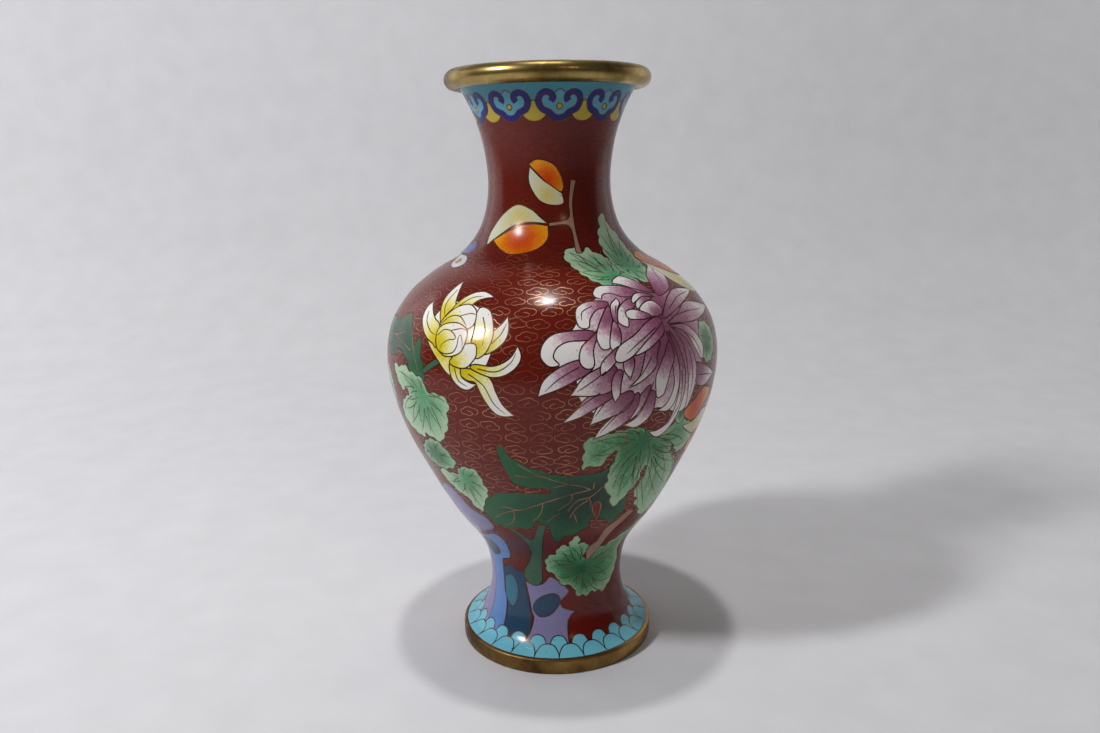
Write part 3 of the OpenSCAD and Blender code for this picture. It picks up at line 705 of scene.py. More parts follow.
# %% Yellow chrysanthemum
YELLOW_HEART = (-35, 136)
YELLOW_BED = "-46 140, -42 148, -34 149, -25 147, -19 140, -19 133, -23 126, -32 125, -38 130, -44 136"
YELLOW_PETALS = (
    "-40.5 142, -44 146.5, -45.3 150, -44.5 153, -42.7 155 *, -40.5 152, -38.5 149, -37.5 147.5, -39.5 145",
    "-50.5 148 *, -47 145, -44 143, -40.5 141, -39.5 134, -41 135, -45 136.8, -49 140, -51.5 143, -52 146",
    "-38 146.5, -36 150, -32 152, -28 152.5, -24.5 151.8, -22.3 151 *, -26 150.6, -29 149.6, -31 147.6, "
      "-34 146",
    "-30 127.5, -25 128.3, -19 125.8, -17 121, -15 116.5, -11.7 112.8 *, -15 112.3, -18 113.5, -21 118, "
      "-23 122.5, -24 124, -27 124.5",
    "-33 129.5, -32 124.5, -29 121.5, -26 121, -23.2 123.2 *, -26 123.8, -28.5 125.5, -29.4 129",
    "-24 130, -18 129.8, -13.5 132, -11.3 135, -10.7 137 *, -9.3 133.5, -10.5 130, -14 127, -18 126, "
      "-22 127, -25.5 128.7",
    "-22 139, -19 141, -16.5 143.5, -15 145.7 *, -14 142, -14.5 138.5, -17 135.5, -20.5 133.5, -23 134")
YELLOW_BUD_HEART = (-43, 133)
YELLOW_BUD = (
    "-27 146.4, -25.5 148, -22 147, -20 144, -19 140.5, -19.3 137, -21 133.5, -24 132, -26 136, -26 141",
    "-40.3 141.5, -39 145, -36 147.5, -32 148.5, -29 147.8, -27 146, -27 142, -33 140",
    "-33 129.5, -30 128.3, -27 128.5, -25 130.5, -23.7 133, -24.5 136.5, -28.7 136, -32 132",
    "-40.5 140, -40.3 137, -39 134, -37 132.5, -35 131.6, -32 132, -29 134, -28 138.4, -29 141, "
      "-33 142.6, -38 142")
YELLOW_CREASES = (
    "-42 152.4, -42.6 148, -40 144", "-49.6 145, -48 142, -44 139, -41 138",
    "-36 147.6, -32 150.4, -27 151.2", "-40 142, -37.5 144.3, -33.5 144.7, -30 142.5, -29 141",
    "-33.5 144.7, -29.5 145.8, -26.6 145.5",
    "-40 138, -38 140, -35 140, -32.5 138.5, -32.5 137.5, -35 137, -37 135.5, -37.7 133.3",
    "-37.7 133, -35 132.4, -32 133.4, -31 136, -31.2 138, -30.5 139, -29.4 137, -28.9 134.6",
    "-35 140, -31 141, -29 140.6", "-24 145, -22 141, -22 136", "-19 137, -16.4 140, -15 143.4",
    "-23 128.6, -17 128, -12.6 131, -11 134.4", "-26 126.6, -21 123, -18 117, -14.6 113.4",
    "-31 128, -29.6 124, -26.4 122.2")
print(len(YELLOW_PETALS) + len(YELLOW_BUD), "yellow petals written")

# %% [markdown]
# Each flower is drawn on a bed of its own colour, so that no ground shows between the petals. The
# back of the vase carries the same two flowers turned over, as a maker turns a pattern over to
# use it twice.

# %% Flowers in place
PETAL_WIRE, CREASE_WIRE = 0.5, 0.42


def flower(enamel, wire, heart, bed, petals, creases, move=None):
    for petal in (bed,) + petals:
        cell(enamel, petal, root=heart, wire=wire, width=PETAL_WIRE, move=move)
    for crease in creases:
        line(crease, wire=wire, width=CREASE_WIRE, taper=True, move=move)


def carried(heart, azimuth, z):
    """The same drawing turned over and carried to another place on the body."""
    start, end = np.array(sheet_point(*heart)), np.array(sheet_point(azimuth, z))
    return lambda points: end + (points - start) * [-1, 1]


to_back = carried(MAUVE_HEART, 199, 124), carried(YELLOW_HEART, 132, 146)
for mauve_move, yellow_move in ((None, None), to_back):
    flower("mauve_petal_enamel", "mauve_flower_wires", MAUVE_HEART, MAUVE_BED, MAUVE_PETALS,
           MAUVE_CREASES, mauve_move)
    flower("yellow_petal_enamel", "yellow_flower_wires", YELLOW_HEART, YELLOW_BED, YELLOW_PETALS,
           (), yellow_move)
    flower("yellow_petal_enamel", "yellow_flower_wires", YELLOW_BUD_HEART, YELLOW_BUD[-1], YELLOW_BUD,
           YELLOW_CREASES, yellow_move)
print(len(layers), "outlines so far")

# %% [markdown]
# ## Autumn leaves
# The turned leaves have two cells each, orange along one half and cream along the other. One cell
# with both colours would blend them, and here the midrib's wire keeps them sharply apart.

# %% Autumn leaves
for enamel, root, path in (
        ("orange_enamel", (-2, 190), "-18 195.5 *, -6 190.3, 4 186.6, 11 185.4 *, 12.6 188, 9 192.5, "
         "2 195.8, -10 197.2"),
        ("cream_enamel", (-3, 184), "-17 187.5, -9 182.6, 2 180.8, 12 181.4, 11 185 *, 3 187.4, -6 190, "
         "-17 194.6 *, -18.6 191"),
        ("cream_enamel", (-26, 176), "-53 171, -50.5 166.6, -46 168.5, -33 173, -20 174.8, -2 174.4 *, "
         "-8 176.6, -16 179.4, -30 181, -45 176.8"),
        ("orange_enamel", (-22, 169), "-46 168.2 *, -42 167, -34 165, -25 163.8, -10 165.4, -2 169, "
         "-1.5 173.6 *, -14 174.2, -28 172.6, -38 170.6"),
        ("orange_enamel", (56, 107), "48 107, 52 103, 58 102, 64 107, 67 111, 60 114, 53 110.5"),
        ("cream_enamel", (60, 99), "50 101, 56 97, 62 95, 70 97, 70 103, 64 104, 57 101.2"),
        ("orange_enamel", (76, 156), "60 161 *, 70 162.6, 82 159.4, 92 152 *, 82 153, 71 156"),
        ("cream_enamel", (76, 152), "60 160.4 *, 71 155.4, 82 152.4, 92 151.4 *, 84 146, 72 148, 64 153"),
        ("orange_enamel", (70, 92), "61 89, 66 86, 72 87, 74 93, 72 99, 66 95"),
        ("orange_enamel", (-126, 161), "-142 160 *, -132 155.6, -120 156.6, -110 162 *, -122 162.8, "
         "-132 162"),
        ("cream_enamel", (-126, 165), "-142 160.6 *, -132 162.4, -122 163.2, -110 162.6 *, -116 167.4, "
         "-130 167.8"),
        ("orange_enamel", (118, 176), "104 172 *, 114 168.4, 126 171, 134 177 *, 124 177, 112 175"),
        ("cream_enamel", (118, 180), "104 172.6 *, 112 175.6, 124 177.6, 134 177.6 *, 126 183.6, 112 182")):
    cell(enamel, path, root=root, wire="autumn_wire")
print(len(layers), "outlines so far")

# %% [markdown]
# ## Butterflies
# Two butterflies rest on the shoulder, with white and blue wings. They are written in mm round the
# middle of the body, so the same drawing serves for both, and one is turned round.

# %% Butterflies
WINGS = (("butterfly_white_enamel", "0 0 *, 4 5.4, 10 7.2, 13.6 4, 10 0.2"),
         ("butterfly_white_enamel", "0 0 *, -4 5.4, -10 7.2, -13.6 4, -10 0.2"),
         ("butterfly_blue_enamel", "0 -0.4 *, 7 -0.8, 11 -3.8, 7 -7.2, 2.4 -5"),
         ("butterfly_blue_enamel", "0 -0.4 *, -7 -0.8, -11 -3.8, -7 -7.2, -2.4 -5"),
         ("butterfly_yellow_enamel", "5.4 3.8, 8 4.6, 9 3, 6.6 2"),
         ("butterfly_yellow_enamel", "-5.4 3.8, -8 4.6, -9 3, -6.6 2"),
         ("butterfly_yellow_enamel", "-0.9 3.4, 0.9 3.4, 0.9 -4, 0 -6, -0.9 -4"))
FEELER_WIRE = 0.34
for place, facing in (((-80, 162), -1), ((166, 172), 1)):
    middle = np.array(sheet_point(*place))

    def turned_round(points):
        return middle + (points - middle) * [1, facing]

    for enamel, path in WINGS:
        cell(enamel, path, at=place, wire="butterfly_wire", move=turned_round)
    for side in (-1, 1):
        feeler = f"{0.3 * side} 3.4, {1.6 * side} 6.4, {3.6 * side} 7.6"
        line(feeler, wire="butterfly_wire", width=FEELER_WIRE, at=place, move=turned_round)
print(len(layers), "outlines so far")

# %% [markdown]
# ## The foot band
# Two rows of scales go round the foot, 24 in each, and the lower row stands in front of the upper.
# One arch is written for each row and carried round. The band is laid last, over the foot of the
# rock.

# %% Foot band
SCALES = 24
SCALE_WIRE = 0.46
UPPER_ARCH = "-6.9 4 *, -6.7 8, -4.6 10.9, 0 11.9, 4.6 10.9, 6.7 8, 6.9 4 *"
LOWER_ARCH = "-7.6 4 *, -7 7.2, -4.6 8.7, 0 9.3, 4.6 8.7, 7 7.2, 7.6 4 *"
for first_turn, arch in ((1, UPPER_ARCH), (8.5, LOWER_ARCH)):
    for k in range(SCALES):
        step_round = np.array([(first_turn + 360 / SCALES * k) * SHEET_PER_DEGREE, 0])
        cell("foot_scales", arch, wire="scale_wire", width=SCALE_WIRE,
             move=lambda points: points + step_round)
print(len(layers), "outlines drawn")

# %% [markdown]
# ## Cutting the sheet into cells
# The whole drawing is now cut in one go. Boolean or knife cuts would be slow for so many
# outlines and leave slivers, so all of them are handed to one triangulation. The ground's
# clouds that lie wholly under a flower or a leaf are taken out first, as nobody would bend them.

# %% Hidden clouds
drawn = layers[ground_layers:]
drawn_boxes = np.array([[*loop.min(0), *loop.max(0)] for part, loop, shade in drawn])
showing = []
for part, loop, shade in layers[:ground_layers]:
    low, high = loop.min(0), loop.max(0)
    near = np.where((drawn_boxes[:, 0] < low[0]) & (drawn_boxes[:, 1] < low[1])
                    & (drawn_boxes[:, 2] > high[0]) & (drawn_boxes[:, 3] > high[1]))[0]
    if not any(covered(drawn[i][1], loop).all() for i in near):
        showing.append((part, loop, shade))
layers = showing + drawn
print(len(showing), "cloud wires show")

# %% [markdown]
# All the outlines are pressed into the sheet at once, and it falls apart along them into small
# triangles, with a fine grid between so that it can bend round the body.

# %% Cutting
GRID = 3.0
WELD = 1e-4
sheet_w, sheet_h = 360 * SHEET_PER_DEGREE, along[-1]
points, edges = [], []
for i in range(int(sheet_w / GRID) + 1):
    for j in range(int(sheet_h / GRID) + 1):
        x = -sheet_w / 2 + i * sheet_w / int(sheet_w / GRID)
        y = min((j + 0.5 * (i % 2)) * sheet_h / int(sheet_h / GRID), sheet_h)
        points.append((x, y))
corner = len(points)
points += [(-sheet_w / 2, 0), (sheet_w / 2, 0), (sheet_w / 2, sheet_h), (-sheet_w / 2, sheet_h)]
edges += [(corner + i, corner + (i + 1) % 4) for i in range(4)]
for part, loop, shade in layers:
    first = len(points)
    points += map(tuple, loop)
    edges += [(first + i, first + (i + 1) % len(loop)) for i in range(len(loop))]
cut_points, _, cut_faces, *_ = delaunay_2d_cdt(points, edges, [], 0, WELD)
cut_points = np.array([p[:] for p in cut_points])
cut_faces = np.array(cut_faces)
centres = cut_points[cut_faces].mean(1)
inside = (abs(centres[:, 0]) < sheet_w / 2) & (centres[:, 1] > 0) & (centres[:, 1] < sheet_h)
cut_faces, centres = cut_faces[inside], centres[inside]
order = np.argsort(centres[:, 0])
cut_faces, centres = cut_faces[order], centres[order]
print(len(cut_faces), "triangles")

# %% [markdown]
# Each triangle belongs to the last outline laid over it. The triangles of one enamel, or of one
# kind of wire, make up one piece, and the pieces fit together without a gap or an overlap, like
# the polished surface.

# %% Owners
owner = np.full(len(cut_faces), -1)
for number, (part, loop, shade) in enumerate(layers):
    a, b = np.searchsorted(centres[:, 0], [loop[:, 0].min(), loop[:, 0].max()])
    rows = np.arange(a, b)
    rows = rows[(centres[a:b, 1] > loop[:, 1].min()) & (centres[a:b, 1] < loop[:, 1].max())]
    if len(rows):
        owner[rows[covered(loop, centres[rows])]] = number
part_of = np.array([layers[i][0] if i >= 0 else "ground" for i in owner])
part_of[(part_of == "ground") & (centres[:, 0] < 0)] = "ground_left"
part_of[part_of == "ground"] = "ground_right"
print(len(set(part_of)), "pieces")

# %% [markdown]
# ## Wrapping the cells round the body
# Every corner of a triangle goes to its place on the surface of revolution, and takes that
# surface's own direction, so a highlight runs over wire and glass alike. A lattice or a shrinkwrap
# would bend the sheet too, but with small errors at every edge that the gloss would show.
# A petal's colours follow the distance from its root. A leaf's follow its edge as well.

# %% Wrapping
def shade_of(number, spots):
    """How far some points of a cell lie along its run of colours, from 0 at the root to 1 at the tip."""
    part, edge, (root, reach, to_edge) = layers[number]
    away = real_distance(spots, root)
    if not to_edge:
        return np.clip(away / reach, 0, 1)
    rim = np.array([np.linalg.norm((edge - spot) * [width_at(root[1]), 1], axis=1).min() for spot in spots])
    return (np.clip(away / reach, 0, 1) + away / (away + 2 * rim + 1e-6)) / 2


skin = {}
for part in sorted(set(part_of)):
    rows = np.where(part_of == part)[0]
    used, local = np.unique(cut_faces[rows], return_inverse=True)
    local = local.reshape(-1, 3)
    places, outward = on_body(cut_points[used])
    mesh = bpy.data.meshes.new(part)
    mesh.from_pydata(places.tolist(), [], local.tolist())
    shade = np.zeros(len(used))
    for number in set(owner[rows]):
        if number >= 0 and layers[number][2]:
            own = local[owner[rows] == number].ravel()
            shade[own] = shade_of(number, cut_points[used[own]])
    mesh.attributes.new("shade", "FLOAT", "POINT").data.foreach_set("value", shade.astype(np.float32))
    mesh.polygons.foreach_set("use_smooth", [True] * len(mesh.polygons))
    mesh.normals_split_custom_set_from_vertices(outward.tolist())
    piece = bpy.data.objects.new(part, mesh)
    bpy.context.scene.collection.objects.link(piece)
    skin[part] = piece
    print(f"{part}: {len(rows)} triangles")


# %% [markdown]
# ## Finishes
# Every finish below is built of nodes. Painted pictures could be wrapped on too, but nodes stay sharp
# at any distance. One helper adds a node with its settings and links.

# %% Node helper
def colour(hex_code):
    """A colour written as sRGB hex, as linear light."""
    values = [int(hex_code[i:i + 2], 16) / 255 for i in (1, 3, 5)]
    return (*[v / 12.92 if v <= 0.04045 else ((v + 0.055) / 1.055) ** 2.4 for v in values], 1)


def add(material, kind, links=(), stops=(), **settings):
    """Adds a node with its settings, its links as (input, node, output), and the stops of a ramp."""
    node = material.node_tree.nodes.new(kind)
    for name, value in settings.items():
        if hasattr(node, name):
            setattr(node, name, value)
        else:
            node.inputs[name.replace("_", " ")].default_value = value
    for socket, source, output in links:
        material.node_tree.links.new(source.outputs[output], node.inputs[socket])
    if stops:
        marks = node.color_ramp.elements
        for mark, (place, hex_code) in ((marks[0], stops[0]), (marks[1], stops[-1])):
            mark.position, mark.color = place, colour(hex_code)
        for place, hex_code in stops[1:-1]:
            marks.new(place).color = colour(hex_code)
    return node


def new_material(name):
    material = bpy.data.materials.new(name)
    material.use_nodes = True
    material.node_tree.nodes.clear()
    return material


print("brick red in linear light:", [round(v, 3) for v in colour("#832615")])

# %% [markdown]
# ## Enamel
# Enamel is lead or soda glass, ground to grains, packed wet into the cell, melted and polished. The
# grains are about a millimetre across when fired, which gives a faint mottle. Bubbles broke at the
# surface and filled with polishing dirt, which gives dark specks 3 mm apart and a third of a
# millimetre wide. The polish is bright but not quite even, so a highlight breaks up a little at its
# edge. Glass reflects about 4 parts in 100, and worn enamel a little less.

# %% Enamel material
MOTTLE_SCALE = 900        # grains, per metre of body
DRIFT_SCALE = 110         # slow drift of colour and polish, about 9 mm
BUBBLE_SCALE = 330        # bubbles, about 3 mm apart
DRIFT_SHARE = 0.3
WORN_GLASS = 0.32         # specular level: less than fresh glass, which has 0.5


def enamel(name, stops, grain=0.5, gloss=0.2):
    """Polished enamel. The stops are its colours from the root of a cell to its tip."""
    m = new_material(name)
    where = add(m, "ShaderNodeTexCoord")
    on_object = [("Vector", where, "Object")]
    mottle = add(m, "ShaderNodeTexNoise", on_object, Scale=MOTTLE_SCALE, Detail=3, Roughness=0.7)
    drift = add(m, "ShaderNodeTexNoise", on_object, Scale=DRIFT_SCALE, Detail=2)
    root = add(m, "ShaderNodeAttribute", attribute_name="shade")
    spread = add(m, "ShaderNodeMath", [(0, mottle, "Fac")], operation="MULTIPLY_ADD")
    spread.inputs[1].default_value, spread.inputs[2].default_value = grain, -grain / 2
    wash = add(m, "ShaderNodeMath", [(0, drift, "Fac"), (2, spread, 0)], operation="MULTIPLY_ADD")
    wash.inputs[1].default_value = DRIFT_SHARE
    lay_at = add(m, "ShaderNodeMath", [(0, root, "Fac"), (1, wash, 0)], operation="ADD")
    glass = add(m, "ShaderNodeValToRGB", [("Fac", lay_at, 0)], stops)
    bubbles = add(m, "ShaderNodeTexVoronoi", on_object, Scale=BUBBLE_SCALE, Randomness=1.0)
    pits = add(m, "ShaderNodeMapRange", [("Value", bubbles, "Distance")],
               From_Min=0.05, From_Max=0.11, To_Min=0.35, To_Max=1.0)
    dirt = add(m, "ShaderNodeMix", data_type="RGBA", blend_type="MULTIPLY")
    dirt.inputs[0].default_value = 1
    m.node_tree.links.new(glass.outputs["Color"], dirt.inputs[6])
    m.node_tree.links.new(pits.outputs["Result"], dirt.inputs[7])
    polish = add(m, "ShaderNodeMapRange", [("Value", drift, "Fac")],
                 From_Min=0.3, From_Max=0.7, To_Min=gloss * 0.8, To_Max=gloss * 1.25)
    waves = add(m, "ShaderNodeBump", [("Height", drift, "Fac")], Strength=0.12, Distance=0.0004)
    shader = add(m, "ShaderNodeBsdfPrincipled",
                 [("Base Color", dirt, 2), ("Roughness", polish, "Result"), ("Normal", waves, "Normal")],
                 Specular_IOR_Level=WORN_GLASS)
    add(m, "ShaderNodeOutputMaterial", [("Surface", shader, 0)])
    return m


# %% [markdown]
# ## Gilt, brass and copper
# Metal has no colour but its reflection. Gilding wears through in patches, and there it is
# browner and rougher, so one slow noise drives both its colour and its roughness. Fine
# scratches from rubbing, under a millimetre apart, soften the highlights.

# %% Metal material
SCRATCH_SCALE = 1500


def metal(name, bright, dull, rough=(0.25, 0.5), patch=60):
    """Gilt or bare metal, with patches where it has dulled. Patch is their number per metre."""
    m = new_material(name)
    where = add(m, "ShaderNodeTexCoord")
    on_object = [("Vector", where, "Object")]
    patches = add(m, "ShaderNodeTexNoise", on_object, Scale=patch, Detail=6, Roughness=0.65)
    scratches = add(m, "ShaderNodeTexNoise", on_object, Scale=SCRATCH_SCALE, Detail=2)
    tone = add(m, "ShaderNodeValToRGB", [("Fac", patches, "Fac")], [(0.35, dull), (0.62, bright)])
    worn = add(m, "ShaderNodeMapRange", [("Value", patches, "Fac")],
               From_Min=0.35, From_Max=0.65, To_Min=rough[1], To_Max=rough[0])
    fine = add(m, "ShaderNodeBump", [("Height", scratches, "Fac")], Strength=0.15, Distance=0.0001)
    shader = add(m, "ShaderNodeBsdfPrincipled",
                 [("Base Color", tone, "Color"), ("Roughness", worn, "Result"), ("Normal", fine, "Normal")],
                 Metallic=1.0)
    add(m, "ShaderNodeOutputMaterial", [("Surface", shader, 0)])
    return m


# %% [markdown]
# ## The palette
# Each piece takes its own glass. Two stops are one glass with its natural unevenness, and three or
# four are one glass laid wet into another, root first. The opaque glasses hide the copper, so none
# of them lets light through. All could share one material and take their colours from the mesh, but
# each real glass is ground and fired on its own, so each is a material here. The last list names the
# plain CAD nodes that a piece stands in for.

# %% Palette
PALETTE = {
    "ground_left": ("brick red enamel",
        [(0.2, "#67190e"), (0.8, "#832615")], "brick_enamel", ["ground_enamel"]),
    "ground_right": ("brick red enamel", None, "brick_enamel", []),
    "rock_red_enamel": ("darker red enamel", [(0.2, "#6a1408"), (0.8, "#842314")], "brick_enamel", []),
    "collar_turquoise": ("turquoise enamel",
        [(0.2, "#418b9c"), (0.8, "#66adba")], "turquoise_enamel", ["collar_enamel"]),
    "foot_scales": ("pale turquoise enamel",
        [(0.2, "#74c4d6"), (0.8, "#98dbe6")], "turquoise_enamel", ["scale_enamel"]),
    "collar_navy": ("navy enamel", [(0.2, "#15156e"), (0.8, "#24249a")], "navy_enamel", ["ruyi_heads"]),
    "collar_sky": ("light blue enamel",
        [(0.2, "#559fb4"), (0.8, "#7ab6c4")], "sky_enamel", ["ruyi_hearts"]),
    "collar_yellow": ("yellow enamel",
        [(0.2, "#b9a632"), (0.8, "#d8ca62")], "yellow_enamel", ["ruyi_dots", "ruyi_lobes"]),
    "rock_lavender_enamel": ("lavender enamel",
        [(0.2, "#8580a8"), (0.8, "#a8a3c4")], "lavender_enamel", ["rock_lavender"]),
    "rock_sky_enamel": ("sky blue enamel",
        [(0.2, "#5f88c2"), (0.8, "#86a8d8")], "sky_enamel", ["rock_sky"]),
    "rock_slate_enamel": ("slate blue enamel",
        [(0.2, "#28465f"), (0.8, "#4f7290")], "slate_enamel", ["rock_navy"]),
    "rock_teal_enamel": ("teal enamel", [(0.2, "#3b7188"), (0.8, "#5c96a8")], "slate_enamel", []),
    "grey_stem_enamel": ("grey green enamel", [(0.2, "#42634c"), (0.8, "#607c62")], "brown_enamel", []),
    "brown_stem_enamel": ("brown enamel",
        [(0.2, "#a67e6a"), (0.8, "#c9a592")], "brown_enamel", ["twig_cells"]),
    "dark_leaf_enamel": ("dark green enamel",
        [(0.15, "#0a2418"), (0.5, "#12402a"), (0.95, "#22603a")], "dark_green_enamel", ["dark_leaf_cells"]),
    "grey_leaf_enamel": ("grey green leaf enamel",
        [(0.15, "#246a3e"), (0.55, "#518c60"), (0.95, "#92ba94")], "pale_green_enamel", []),
    "pale_leaf_enamel": ("pale green enamel",
        [(0.15, "#3c8a5a"), (0.5, "#6fa97c"), (0.92, "#b2d2ac")], "pale_green_enamel", ["pale_leaf_cells"]),
    "green_leaf_enamel": ("green to pale enamel",
        [(0.15, "#0d5730"), (0.55, "#3f8c58"), (0.95, "#a4cba0")], "green_enamel", ["green_leaf_cells"]),
    "mauve_petal_enamel": ("mauve to white enamel",
        [(0.1, "#7a3857"), (0.45, "#a0647f"), (0.7, "#cda8b8"), (0.87, "#f1ece8")],
        "mauve_enamel", ["pink_petals"]),
    "yellow_petal_enamel": ("yellow to white enamel",
        [(0.08, "#c9b00e"), (0.38, "#dccb30"), (0.62, "#ece7a4"), (0.82, "#f2f0e6")],
        "yellow_white_enamel", ["yellow_petals"]),
    "orange_enamel": ("red to orange enamel",
        [(0.1, "#c43004"), (0.55, "#d95f08"), (0.95, "#ee9914")], "orange_enamel", ["orange_leaf_cells"]),
    "cream_enamel": ("cream enamel",
        [(0.1, "#d2bc58"), (0.5, "#d6d2a4"), (0.9, "#d4dac2")], "cream_enamel", ["cream_leaf_cells"]),
    "butterfly_white_enamel": ("white enamel", [(0.2, "#cfcfd2"), (0.8, "#ececea")], "cream_enamel", []),
    "butterfly_blue_enamel": ("violet blue enamel",
        [(0.2, "#5a62a8"), (0.8, "#8a92cc")], "sky_enamel", ["butterfly_wings"]),
    "butterfly_yellow_enamel": ("warm yellow enamel",
        [(0.2, "#b09030"), (0.8, "#d0b050")], "yellow_enamel", [])}
for name, (title, stops, slot, nodes) in PALETTE.items():
    made = bpy.data.materials.get(title) or enamel(title, stops)
    piece = skin[name]
    piece.data.materials.append(made)
    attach(piece, "root")
    if nodes:
        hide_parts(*nodes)
print(len(PALETTE), "enamel pieces coloured")

# %% [markdown]
# ## Wires
# The wires are gilt copper. The cloud wires and the leaf veins still shine, those on the neck have
# dulled, and round the flowers and leaves the wires are dark brown: partly tarnish where the gilding
# has gone, and partly painted shade for the dark shadow lines in the gaps beside each wire. It was all
# one wire, and one patchy finish would be simpler, but the wear and the painted shade follow the
# picture. So there are three.

# %% Wires
gilt = metal("gilt wire", "#c08a60", "#7a4632", rough=(0.28, 0.45), patch=120)
dull_gilt = metal("dulled gilt wire", "#744030", "#4c231a", rough=(0.35, 0.5), patch=120)
# Dark brown for the cell wires: tarnish, and painted shade standing for the shadow lines beside them.
tarnished = metal("tarnished wire with painted shade", "#6e4a38", "#33201a", rough=(0.3, 0.5), patch=160)
WIRES = {
    "cloud_wires": (gilt, []),
    "neck_cloud_wires": (dull_gilt, []),
    "vein_wires": (gilt, []),
    "collar_wire": (tarnished, ["collar_wires"]),
    "scale_wire": (tarnished, ["scale_wires"]),
    "rock_wire": (tarnished, ["rock_wires"]),
    "stem_wire": (tarnished, ["twig_wires"]),
    "leaf_wire": (tarnished, ["pale_leaf_wires", "green_leaf_wires", "dark_leaf_wires"]),
    "mauve_flower_wires": (tarnished, ["pink_wires"]),
    "yellow_flower_wires": (tarnished, ["yellow_wires"]),
    "autumn_wire": (tarnished, ["autumn_wires"]),
    "butterfly_wire": (tarnished, ["butterfly_wires"])}
for name, (made, nodes) in WIRES.items():
    skin[name].data.materials.append(made)
    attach(skin[name], "root")
    if nodes:
        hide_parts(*nodes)
print(len(WIRES), "kinds of wire; not finished:", sorted(set(skin) - set(PALETTE) - set(WIRES)))

# %% [markdown]
# ## The rings and the inside
# The rings at the mouth and the foot were turned on a lathe, so each is an outline spun once round
# the axis. Cutting them from cylinders would work too, but an outline gives the rounded edges
# directly. The ring at the foot is about 3 mm wide with a rounded top and a small chamfer under it.

# %% Spinning
FULL_TURN = 2 * math.pi


def spun(name, outline_mm, segments=160, closed=False):
    """A turned piece: its outline of radius and height in mm, spun once round the axis."""
    mesh = bpy.data.meshes.new(name)
    count = len(outline_mm)
    mesh.from_pydata([(r * MM, 0, z * MM) for r, z in outline_mm],
                     [(i, (i + 1) % count) for i in range(count if closed else count - 1)], [])
    piece = bpy.data.objects.new(name, mesh)
    bpy.context.scene.collection.objects.link(piece)
    bpy.ops.object.select_all(action="DESELECT")
    bpy.context.view_layer.objects.active = piece
    piece.select_set(True)
    bpy.ops.object.mode_set(mode="EDIT")
    bpy.ops.mesh.select_all(action="SELECT")
    bpy.ops.mesh.spin(steps=segments, angle=FULL_TURN, center=(0, 0, 0), axis=(0, 0, 1))
    bpy.ops.mesh.select_all(action="SELECT")
    bpy.ops.mesh.remove_doubles(threshold=1e-6)
    bpy.ops.mesh.normals_make_consistent(inside=False)
    bpy.ops.object.mode_set(mode="OBJECT")
    piece.data.polygons.foreach_set("use_smooth", [True] * len(piece.data.polygons))
    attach(piece, "root")
    print(f"{name}: {len(piece.data.polygons)} faces")
    return piece


def arc(centre, radius, start, end, count):
    """Points on an arc about a centre of radius and height."""
    return [(centre[0] + radius * math.cos(t), centre[1] + radius * math.sin(t))
            for t in np.linspace(start, end, count)]


# %% Rings
RING_WIDTH = 3.4
CHAMFER = 0.3
SOFT_EDGE = 1.1
rim = spun("rim_ring_turned",
           arc((rim_r, height - rim_wire_r), rim_wire_r, 0, FULL_TURN, 33)[:-1], closed=True)
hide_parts("rim_ring")
foot_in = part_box("foot_ring")[1].x / MM - RING_WIDTH
underneath = [(foot_in, CHAMFER), (foot_in + CHAMFER, 0), (foot_r - 0.5, 0)]
outside = [(foot_r - 0.1, 0.35), (foot_r, 0.9)]
over = arc((foot_r - SOFT_EDGE, ring_h - SOFT_EDGE), SOFT_EDGE, 0, FULL_TURN / 4, 7)
inside = [(foot_in + CHAMFER, ring_h), (foot_in, ring_h - 0.4)]
foot_ring = spun("foot_ring_turned", underneath + outside + over + inside, closed=True)
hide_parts("foot_ring")

# %% [markdown]
# Both rings are brass, gilt once. The rim has been handled and rubbed but still shines yellow, and
# the foot is browner and rougher. On a new vase one finish would do for both.

# %% Brass finish
brass = metal("gilt brass", "#b8a062", "#66512a", rough=(0.24, 0.42), patch=45)
worn_brass = metal("tarnished brass", "#a5824c", "#553c20", rough=(0.3, 0.5), patch=40)
for piece, made in ((rim, brass), (foot_ring, worn_brass)):
    piece.data.materials.append(made)
    print(piece.name, "is", made.name)

# %% [markdown]
# ## Counter-enamel
# Enamel on one side only would warp the copper in the fire, so the inside and the underside carry
# a plain blue one. Nobody polished it, so it is duller and more mottled than the outside. The
# copper's inner face could just be coloured blue, but at the mouth the enamel's thickness shows, so it
# is a spun shell.

# %% Lining and underside
COPPER_T = 1.0
LINING_T = 0.4
FACE_IN = 0.12          # how far the lining's face stands in from the wall's
FLOOR_GAP = 0.05        # how far its floor stands above the copper
FLOOR_CORNER = 0.6
wall = ENAMEL_T + COPPER_T + LINING_T
floor_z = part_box("base_plate")[1].z / MM
base_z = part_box("base_enamel")[0].z / MM
inner = [(r - wall * dz, z + wall * dr) for (r, z), (dr, dz) in zip(outline, slope)]
inner = [(r, z) for r, z in inner[::2] if z > floor_z + 0.2]
floor_line = [(0, floor_z + FLOOR_GAP), (inner[0][0] - FLOOR_CORNER, floor_z + FLOOR_GAP)]
wall_line = [(r - FACE_IN, z) for r, z in inner]
lip = (inner[-1][0] + 1.4, inner[-1][1] + 0.2)
lining = spun("lining_turned", floor_line + wall_line + [lip])
base_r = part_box("base_enamel")[1].x / MM - 0.05
base = spun("base_enamel_turned", [(0, base_z), (base_r, base_z)])
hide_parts("lining")
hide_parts("base_enamel")
counter = enamel("blue counter enamel", [(0.2, "#2b6476"), (0.8, "#4d93a4")], grain=0.6, gloss=0.25)
for piece, up in ((lining, True), (base, False)):
    lowest = min(piece.data.polygons, key=lambda face: face.center.z)
    if (lowest.normal.z > 0) != up:
        piece.data.flip_normals()
    piece.data.materials.append(counter)

